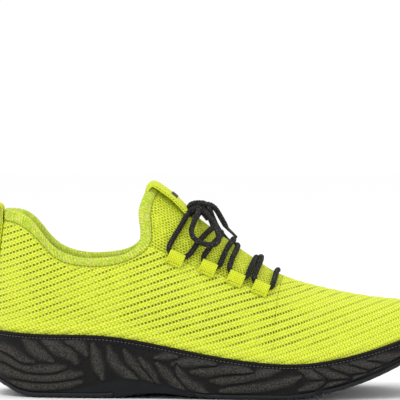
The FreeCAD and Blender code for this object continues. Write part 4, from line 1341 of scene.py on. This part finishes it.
def half_lace(side, over):
    """From the front loop's rear end back to the knot, changing side at every gap."""
    route = []
    for number in (4, 3, 2):
        rear, front = loop_ends(number, side)[1], loop_ends(number - 1, -side)[0]
        lean = REAR_LEAN if number == 2 else 0.0
        route += [rear] + strand(rear, front, side, over, lean) + [front]
        side = -side
    route.append(loop_ends(1, side)[1])
    for x, z in ((-29.5, 94.0), (-23.0, 104.0)):
        route.append(on_side(x, z, side, STRAND_HEIGHT))
    route.append(KNOT + (-6.0, side * 7.0, -2.5))
    route.append(KNOT + (-2.0, side * 3.0, -0.5))
    return route


def lace_route():
    """The held lace, from the knot down one side of the row, over the front and back."""
    front = [loop_ends(4, side)[0] for side in (LATERAL, MEDIAL)]
    bar = [front[0]] + strand(front[0], front[1], LATERAL) + [front[1]]
    for place_in, shift in zip((2, 3), BAR_SHIFTS):
        bar[place_in] = bar[place_in] + (shift, 0, 0)
    return list(reversed(half_lace(LATERAL, True))) + bar + half_lace(MEDIAL, False)


def braided(length, angle):
    """Relief of the braid: two sets of strands that cross."""
    pitch = length * BRAID_PITCH
    turn = angle * BRAID_STRANDS / (2 * np.pi)
    one, two = np.sin(2 * np.pi * (pitch + turn)), np.sin(2 * np.pi * (pitch - turn))
    return BRAID_RELIEF * np.maximum(one, two)


def tail_radius(path):
    """A free end's radius, which is slimmer where it runs on inside its aglet."""
    to_end = chord_lengths(path[::-1])[::-1]
    return TAIL_TIP + (LACE_RADIUS - TAIL_TIP) * smooth_step(*TAIL_TAPER, to_end)


def lace_tube(name, points, radius_of=None):
    """A braided lace along a route, and its path; radius_of(path) gives a radius that changes."""
    path = smooth_route(points, LACE_SPACING)
    radius = radius_of(path) if radius_of else LACE_RADIUS
    return tube(name, path, radius, swell=braided), path


def wrap_route(centre, radius, low, high, turns, start):
    """A tight turn of lace round an axis across the foot, from y = low to y = high."""
    count = int(10 * turns)
    route = []
    for i in range(count + 1):
        angle = start + 2 * math.pi * turns * i / count
        y = low + (high - low) * i / count
        route.append((centre[0] + radius * math.cos(angle), y, centre[2] + radius * math.sin(angle)))
    return route


def lace_knot():
    """The bow's knot: two tight wraps and a strand drawn over them."""
    routes = [
        wrap_route((-15.6, 0, 114.9), 2.4, -4.4, 4.4, 2.4, 2.2),
        wrap_route((-9.6, 0, 115.4), 2.6, -5.6, 4.2, 2.6, 0.6),
        [(-18.4, 4.4, 111.2), (-18.6, 1.5, 114.6), (-16.4, -1.2, 117.6), (-12.6, -2.6, 118.4),
         (-8.6, -3.4, 118.0), (-5.6, -4.8, 115.6), (-5.8, -5.6, 112.0)],
        [(-17.4, -5.0, 111.0), (-15.6, -6.4, 113.4), (-12.0, -7.4, 115.4), (-8.6, -6.8, 114.4),
         (-6.4, -4.6, 111.6)],
        [(-13.8, -6.6, 108.6), (-12.0, -7.6, 111.6), (-10.2, -7.8, 113.4), (-8.2, -7.4, 111.2),
         (-6.2, -6.2, 108.4)],
    ]
    tubes = [lace_tube("knot_%d" % i, route)[0] for i, route in enumerate(routes)]
    place(joined("bow_knot", tubes), BRAID, "shoe", "lace_black", "lace_knot")


# The bow's free loops, each from the knot round and back to it; close to the CAD's loops.
BOWS = {
    "lateral": [(-11.0, -7.6, 114.6), (-12.6, -12.4, 111.4), (-15.2, -18.4, 106.2),
                (-16.8, -23.6, 100.4), (-12.6, -27.4, 95.6), (-5.4, -28.2, 93.4),
                (0.9, -26.4, 94.6), (0.2, -20.4, 101.4), (-3.2, -13.6, 108.0),
                (-8.4, -7.8, 113.2)],
    "medial": [(-12.5, 8.2, 114.5), (-15.5, 15.5, 111.0), (-18.0, 23.0, 104.0),
               (-16.0, 29.0, 97.0), (-9.5, 31.5, 93.0), (-3.0, 30.0, 94.5),
               (-2.6, 25.0, 100.5), (-4.8, 18.5, 107.0), (-7.0, 13.0, 111.0),
               (-9.4, 8.2, 112.8)],
}
# Inside the knot each free end starts with two points more, and it runs on inside its aglet.
LACE_ENDS = {
    "lateral": [(-15.5, 3.0, 112.5), (-12.0, 1.5, 115.0), (-8.5, -0.5, 117.2),
                (-5.0, -1.5, 117.3), (-1.4, -3.0, 114.8), (2.0, -4.0, 109.0), (5.2, -4.5, 103.2),
                (7.2, -4.6, 101.0)],
    "medial": [(-5.5, 4.5, 114.5), (-2.4, 10.5, 105.6), (1.0, 16.8, 99.2), (5.4, 23.2, 93.4),
               (9.5, 27.5, 88.5)],
}
AGLET_START = {"lateral": (5.4, -4.5, 103.0), "medial": (9.5, 27.5, 88.5)}
AGLET_TIPS = {"lateral": (11.9, -4.8, 96.7), "medial": (11.5, 31.0, 80.0)}


def aglet(word):
    """The moulded tip: a slim sleeve with crimped ends, tapering to a rounded point."""
    start, tip = np.array(AGLET_START[word]), np.array(AGLET_TIPS[word])
    share = np.linspace(0, 1, 60)
    path = start + (tip - start) * share[:, None]
    radius = 1.02 - 0.22 * share
    radius = radius + 0.10 * np.exp(-((share - 0.06) / 0.03) ** 2)
    radius = radius * np.sqrt(np.clip(1 - ((share - 0.93) / 0.075).clip(0) ** 2, 0.03, 1))
    obj = tube("aglet_%s_tip" % word, path, radius)
    return place(obj, AGLET, "end_" + word, "aglet_black", "aglet_" + word)


def loose_laces():
    """The bow's two free loops, and the two free ends with their tips."""
    for _, word in SIDES:
        obj, path = lace_tube("bow_%s_lace" % word, BOWS[word])
        place(obj, BRAID, "bow_" + word, "lace_black", "bow_loop_" + word)
        tip = aglet(word)
        obj, path = lace_tube("lace_tail_" + word, LACE_ENDS[word], tail_radius)
        place(obj, BRAID, "end_" + word, "lace_black", "lace_end_" + word)


# ---------------------------------------------------------------- webbing tabs

TAB_WIDTH = 22.0
# The tongue's pull in side view: x and height above the ridge, from its front end up the tongue,
# then points over the top of the tongue and down inside it.
TAB_ALONG = [(-16.6, 0.7), (-19.0, 0.8), (-22.0, 1.4), (-25.0, 2.0), (-28.0, 2.4), (-31.5, 2.4),
             (-35.0, 2.2)]
TAB_OVER = [(-37.8, 131.0), (-40.3, 131.5), (-42.6, 130.2), (-44.2, 127.6), (-44.9, 124.0)]
LABEL_RANGE = (-28.6, -24.9)  # X of the plain black label on the pull
TAB_SAG, TAB_SAG_LOSS = 3.4, 1.9  # how far the pull's edges hang, and how much less over the top
LABEL_HALF, LABEL_SIDE, LABEL_LIFT = 2.8, 3.6, 0.85  # half width, place to one side, and height
ACROSS = np.array([0.0, -1.0, 0.0])


def tongue_tab():
    """Webbing sewn along the tongue, lifted in the middle and turned over its top."""
    x, lift = np.array(TAB_ALONG).T
    slope = (ridge_height(x + 0.1) - ridge_height(x - 0.1)) / 0.2
    steep = np.hypot(1, slope)
    ridge = np.stack([x - lift * slope / steep, np.zeros_like(x), ridge_height(x) + lift / steep], 1)
    over = np.array([(px, 0.0, pz) for px, pz in TAB_OVER])
    path = rounded(np.concatenate([ridge, over]), 110)
    share = np.linspace(0, 1, len(path))
    sag = TAB_SAG - TAB_SAG_LOSS * smooth_step(0.7, 1.0, share)
    tangent = unit(np.gradient(path, axis=0))
    out = unit(np.cross(tangent, ACROSS))
    out = out * np.sign(out[len(out) // 3, 2])
    y = LANES * TAB_WIDTH / 2
    grid = path[:, None] - ACROSS * y[None, :, None]
    grid = grid - out[:, None] * (sag[:, None] * LANES[None] ** 2)[..., None]
    pieces = [coloured(strip("tongue_band", grid, 0.95), WEBBING)]
    sewn = slice(4, 80)
    for lane in SEAM_LANES:
        row = grid[sewn, lane] + out[sewn] * 0.52
        pieces.append(coloured(dashes("tab_seam", row, out[sewn], *TAB_STITCH), SEAM_THREAD))
    rows = np.flatnonzero((path[:, 0] > LABEL_RANGE[0]) & (path[:, 0] < LABEL_RANGE[1]))
    label_y = LANES * LABEL_HALF - LABEL_SIDE
    mark = path[rows, None] - ACROSS * label_y[None, :, None]
    drop = TAB_SAG * (label_y / (TAB_WIDTH / 2)) ** 2
    mark = mark + out[rows, None] * (LABEL_LIFT - drop)[None, :, None]
    pieces.append(coloured(strip("tab_label", mark, 0.35, 0.0), LABEL_BLACK))
    place(joined("tongue_pull", pieces), None, "shoe", "webbing_lime", "tongue_tab")


def heel_point(v, y, lift):
    """A point of the heel's skin at this v and y, lifted off it."""
    on_lateral = y < 0

    def falls_short(u):
        reach = [np.abs(skin(u, v, side)[..., 1]) for side, _ in SIDES]
        return np.where(on_lateral, *reach) < np.abs(y)

    u, _ = halving(np.zeros_like(v), np.full_like(v, 0.25), falls_short, 26)
    return np.where(on_lateral[..., None], *[on_skin(u, v, side, lift) for side, _ in SIDES])


HEEL_TAB_WIDTH = 20.0
HEEL_STRIP = (58.0, 103.0)
HEEL_LOOP_X = (-141.4, -134.9)
HEEL_LOOP_Z = (105.6, 114.4)
HEEL_LOOP_CURL = 1.7  # how far forward the loop's edges lie of its middle


def heel_tabs():
    """The webbing strip up the heel, and the finger loop above it."""
    rows = 60
    line_v = v_at_height(np.zeros(rows), np.linspace(*HEEL_STRIP, rows), LATERAL)
    y = LANES[None] * HEEL_TAB_WIDTH / 2 + np.zeros((rows, 1))
    v = np.broadcast_to(line_v[:, None], y.shape)
    pieces = [coloured(strip("heel_strip_band", heel_point(v, y, 1.15), 1.1), HEEL_WEBBING)]
    for lane in SEAM_LANES:
        path = heel_point(v[:, lane], y[:, lane], 1.75)
        out = unit(path - heel_point(v[:, lane], y[:, lane], 0.0))
        pieces.append(coloured(dashes("heel_seam", path, out, *HEEL_STITCH), SEAM_THREAD))
    place(joined("heel_strip", pieces), None, "shoe", "webbing_lime", "heel_tab_base")
    back, front = HEEL_LOOP_X
    middle, radius = (back + front) / 2, (front - back) / 2
    low, high = HEEL_LOOP_Z
    angle = np.linspace(0, np.pi, 16)
    ring = [(middle, 0, low - radius), (middle + radius * 0.7, 0, low - radius * 0.7)]
    ring += [(front, 0, low + share * (high - low)) for share in (0.0, 0.33, 0.66)]
    ring += [(middle + radius * math.cos(a), 0, high + radius * math.sin(a)) for a in angle]
    ring += [(back - 0.3, 0, low + share * (high - low)) for share in (0.66, 0.33, 0.0)]
    ring += [(middle - radius * 0.7, 0, low - radius * 0.7), (middle, 0, low - radius - 0.2)]
    path = rounded(ring, 110)
    grid = path[:, None] + ACROSS * LANES[None, :, None] * HEEL_TAB_WIDTH / 2
    grid = grid + np.array([HEEL_LOOP_CURL, 0.0, 0.0]) * LANES[None, :, None] ** 2
    loop = strip("heel_loop_band", grid, 1.0)
    place(loop, HEEL_WEBBING, "heel_loop", "webbing_lime", "heel_tab_loop")


# ---------------------------------------------------------------- inside the shoe

INSOLE_INSET = 9.4
INSOLE_TOP, INSOLE_LOW = 6.4, 1.6
BOARD_INSET = 7.4
BOARD_TOP, BOARD_LOW = 1.5, 0.1


def bed_layer(name, inset, low, high, rim_of=None):
    """A layer over the footbed between two heights; rim_of(x, across) adds to its top."""
    u = outline_columns(2.4)[3:-3]
    edges = {}
    for side, _ in SIDES:
        x, y, _, _ = sole_edge(u, side, inset)
        edges[side] = np.stack([x, y], 1)
    share = (1 - np.cos(np.linspace(0, np.pi, 37))) / 2
    plan = (edges[LATERAL][:, None] * (1 - share)[None, :, None]
            + edges[MEDIAL][:, None] * share[None, :, None])
    across = 2 * share - 1
    bed = footbed(plan[..., 0])
    rim = rim_of(plan[..., 0], across) if rim_of else 0.0
    soft = np.sqrt(np.clip(1 - np.abs(across) ** 14, 0.0, 1))
    upper = np.concatenate([plan, (bed + low + (high - low + rim) * soft)[..., None]], -1)
    under = np.concatenate([plan, (bed + low)[..., None]], -1)
    return sheet_mesh(name, [(upper, False), (under, True)] + end_strips(upper, under),
                      weld=FINE_WELD, closed=True)


def insole_rim(x, across):
    """The insole's raised rim and the faint waves of its cloth."""
    return 1.5 * np.abs(across) ** 6 + 0.105 * np.cos(x * 0.35) * (1 - across ** 2)


def insole():
    obj = bed_layer("insole_cushion", INSOLE_INSET, INSOLE_LOW, INSOLE_TOP, insole_rim)
    place(obj, INSOLE_CLOTH, "flex", "insole_fabric", "insole")


def bottom_board():
    """The stitched-in bottom of the upper."""
    obj = bed_layer("bottom_board_sheet", BOARD_INSET, BOARD_LOW, BOARD_TOP)
    place(obj, BOARD, "flex", "board_white", "strobel_board")


LINING_LOW = [(-154, 38.0), (-125, 36.0), (-104, 34.5), (-82, 33.5), (-64, 32.0)]
LINING_HIGH = [(-154, 84.0), (-122, 80.0), (-104, 66.0), (-82, 60.5), (-64, 62.0)]


def heel_lining():
    """The inner cloth of the heel, below the collar's."""
    obj = layer_between("heel_lining_cloth", LINING_LOW, LINING_HIGH, -4.6, 0.8, 90, 34)
    place(obj, LINING, "shoe", "lining_lime", "heel_lining")


# ---------------------------------------------------------------- outsole

LUG_PITCH = 9.0
GROOVE_DEPTH = 1.7
EDGE_BUMP = 5.5  # pitch of the small notches along the rubber's edge
RUBBER_RIM = [(2.6, 0.0), (1.3, 0.12), (0.45, 0.6), (0.05, 1.5), (-0.1, 2.4), (0.1, 3.0), (0.7, 3.3)]
RUBBER_FOOT = 1.4  # height below which the rim's rings bear notches and lift at a piece's ends
RUBBER_END = 141.2  # X at which the rubber stops at heel and toe
END_SHARE = 0.004  # of the outline, over which a piece's end is rounded
TREAD_ROWS = 101
LANE_GROOVES = (-0.55, 0.0, 0.55)  # the tread's lengthwise grooves, as shares of the half width


def tread_relief(x, share):
    """How deep the tread is cut at each x and share of the half width, 0 on a lug."""
    chevron = (x + 9.0 * np.abs(share)) / LUG_PITCH
    cross = np.abs(chevron - np.round(chevron)) * LUG_PITCH
    deep = 1 - smooth_step(0.7, 1.5, cross)
    for lane in LANE_GROOVES:
        deep = np.maximum(deep, 1 - smooth_step(0.02, 0.045, np.abs(share - lane)))
    return GROOVE_DEPTH * deep * (1 - smooth_step(0.84, 0.92, np.abs(share)))


def edge_height(x, height, soft_end):
    """Heights along one line of the rubber's edge, with small notches between its bumps."""
    notch = 0.7 * np.abs(np.sin(np.pi * x / EDGE_BUMP)) ** 2 * (height < RUBBER_FOOT)
    return sole_bottom(x) + np.maximum(height + notch, soft_end * (height < RUBBER_FOOT))


def outsole(name, x_low, x_high):
    """One rubber piece: lugs below, a rounded edge up the wall, and flat on top."""
    x_low, x_high = max(x_low, -RUBBER_END), min(x_high, RUBBER_END)
    u_low, u_high = [math.acos(-x / HALF_LENGTH) / math.pi for x in (x_low, x_high)]
    u = np.linspace(u_low, u_high, int((x_high - x_low) / 0.9))
    end = np.minimum(u - u_low, u_high - u) / END_SHARE
    soft_end = RUBBER_FOOT * (1 - smooth_step(0, 1.0, end))

    def edge_rows(side, rings):
        x, y, out_x, out_y = sole_edge(u, side)
        return [(x - inset * out_x, y - inset * out_y, height) for inset, height in rings]

    left, right = edge_rows(LATERAL, RUBBER_RIM[::-1]), edge_rows(MEDIAL, RUBBER_RIM)
    (lateral_x, lateral_y), (medial_x, medial_y) = left[-1][:2], right[0][:2]
    rows = [np.stack([x, y, edge_height(x, h, soft_end)], 1) for x, y, h in left]
    for share in np.linspace(-1, 1, TREAD_ROWS)[1:-1]:
        t = (share + 1) / 2
        x, y = lateral_x * (1 - t) + medial_x * t, lateral_y * (1 - t) + medial_y * t
        rows.append(np.stack([x, y, sole_bottom(x) + np.maximum(tread_relief(x, share), soft_end)], 1))
    rows += [np.stack([x, y, edge_height(x, h, soft_end)], 1) for x, y, h in right]
    shell = np.stack(rows)
    lid = np.stack([shell[0], shell[-1]])
    caps = []
    for k in (0, -1):
        level = shell[:, k].copy()
        level[:, 2] = shell[0, k, 2]
        caps.append((np.stack([shell[:, k], level]), False))
    obj = sheet_mesh(name + "_rubber", [(shell, False), (lid, True)] + caps, weld=FINE_WELD,
                     closed=True)
    place(obj, RUBBER, "flex", "rubber_black", name)


# ---------------------------------------------------------------- staging

PICTURE_WIDTH = 0.244  # of the view, in metres, at the shoe's near side
CAMERA_TARGET = Vector((-0.0107, -0.045, 0.1222))
CAMERA_DISTANCE = 2.5
CAMERA_AZIMUTH, CAMERA_ELEVATION = math.radians(0.6), math.radians(3.0)
SENSOR = 36.0


def make_camera():
    """The camera that sees the shoe as the photo does, from the outer side and a little above."""
    data = bpy.data.cameras.new("camera")
    data.sensor_width = SENSOR
    data.lens = SENSOR * CAMERA_DISTANCE / PICTURE_WIDTH
    data.clip_start, data.clip_end = 0.05, 20.0
    camera = add_object("camera", data)
    level = math.cos(CAMERA_ELEVATION)
    back = Vector((math.sin(CAMERA_AZIMUTH) * level, -math.cos(CAMERA_AZIMUTH) * level,
                   math.sin(CAMERA_ELEVATION)))
    camera.location = CAMERA_TARGET + back * CAMERA_DISTANCE
    camera.rotation_euler = (-back).to_track_quat("-Z", "Y").to_euler()
    bpy.context.scene.camera = camera


def area_light(name, place_at, size, power):
    data = bpy.data.lights.new(name, "AREA")
    data.shape = "SQUARE"
    data.size = size
    data.energy = power
    light = add_object(name, data)
    light.location = place_at
    light.rotation_euler = (Vector(place_at) - Vector(LIGHT_AIM)).to_track_quat("Z", "Y").to_euler()


FLOOR_HALF = 3.0
SKY_STRENGTH = 1.03
LIGHT_AIM = (0.0, 0.0, 0.06)
LIGHTS = (  # name, place, size and power
    ("key", (-0.45, -0.8, 1.3), 0.7, 5.0),
    ("back", (0.3, 1.0, 1.1), 0.9, 2.5),
)


def make_stage():
    """A pale floor, an even white sky and two soft lights."""
    mesh = bpy.data.meshes.new("floor")
    half = FLOOR_HALF
    mesh.from_pydata([(-half, -half, 0), (half, -half, 0), (half, half, 0), (-half, half, 0)], [],
                     [(0, 1, 2, 3)])
    floor = add_object("floor", mesh)
    pale = Nodes("floor_pale")
    mesh.materials.append(pale.finish((0.955, 0.955, 0.955), 0.9))
    world = bpy.data.worlds.new("studio")
    world.use_nodes = True
    background = world.node_tree.nodes["Background"]
    background.inputs["Color"].default_value = (1, 1, 1, 1)
    background.inputs["Strength"].default_value = SKY_STRENGTH
    bpy.context.scene.world = world
    for light in LIGHTS:
        area_light(*light)


bpy.context.scene.view_settings.view_transform = "Standard"
make_camera()
make_stage()
knit_upper()
instep_panel()
collar_band()
collar_seam()
collar_layers()
midsole()
sole_stitch()
for outsole_name, (range_low, range_high) in RUBBER_RANGES.items():
    outsole(outsole_name, range_low, range_high)
for loop_side, loop_word in SIDES:
    for loop_number in (1, 2, 3, 4):
        lace_loop(loop_number, loop_side, loop_word)
held_lace, _ = lace_tube("held_lace", lace_route())
place(held_lace, BRAID, "shoe", "lace_black", "shoelace")
lace_knot()
loose_laces()
tongue_tab()
heel_tabs()
insole()
bottom_board()
heel_lining()

for node, material in (
    ("heel_counter", STIFFENER), ("toe_puff", STIFFENER),
    ("eyestay_tape_lateral", TAPE), ("eyestay_tape_medial", TAPE),
):
    dress(node, material)
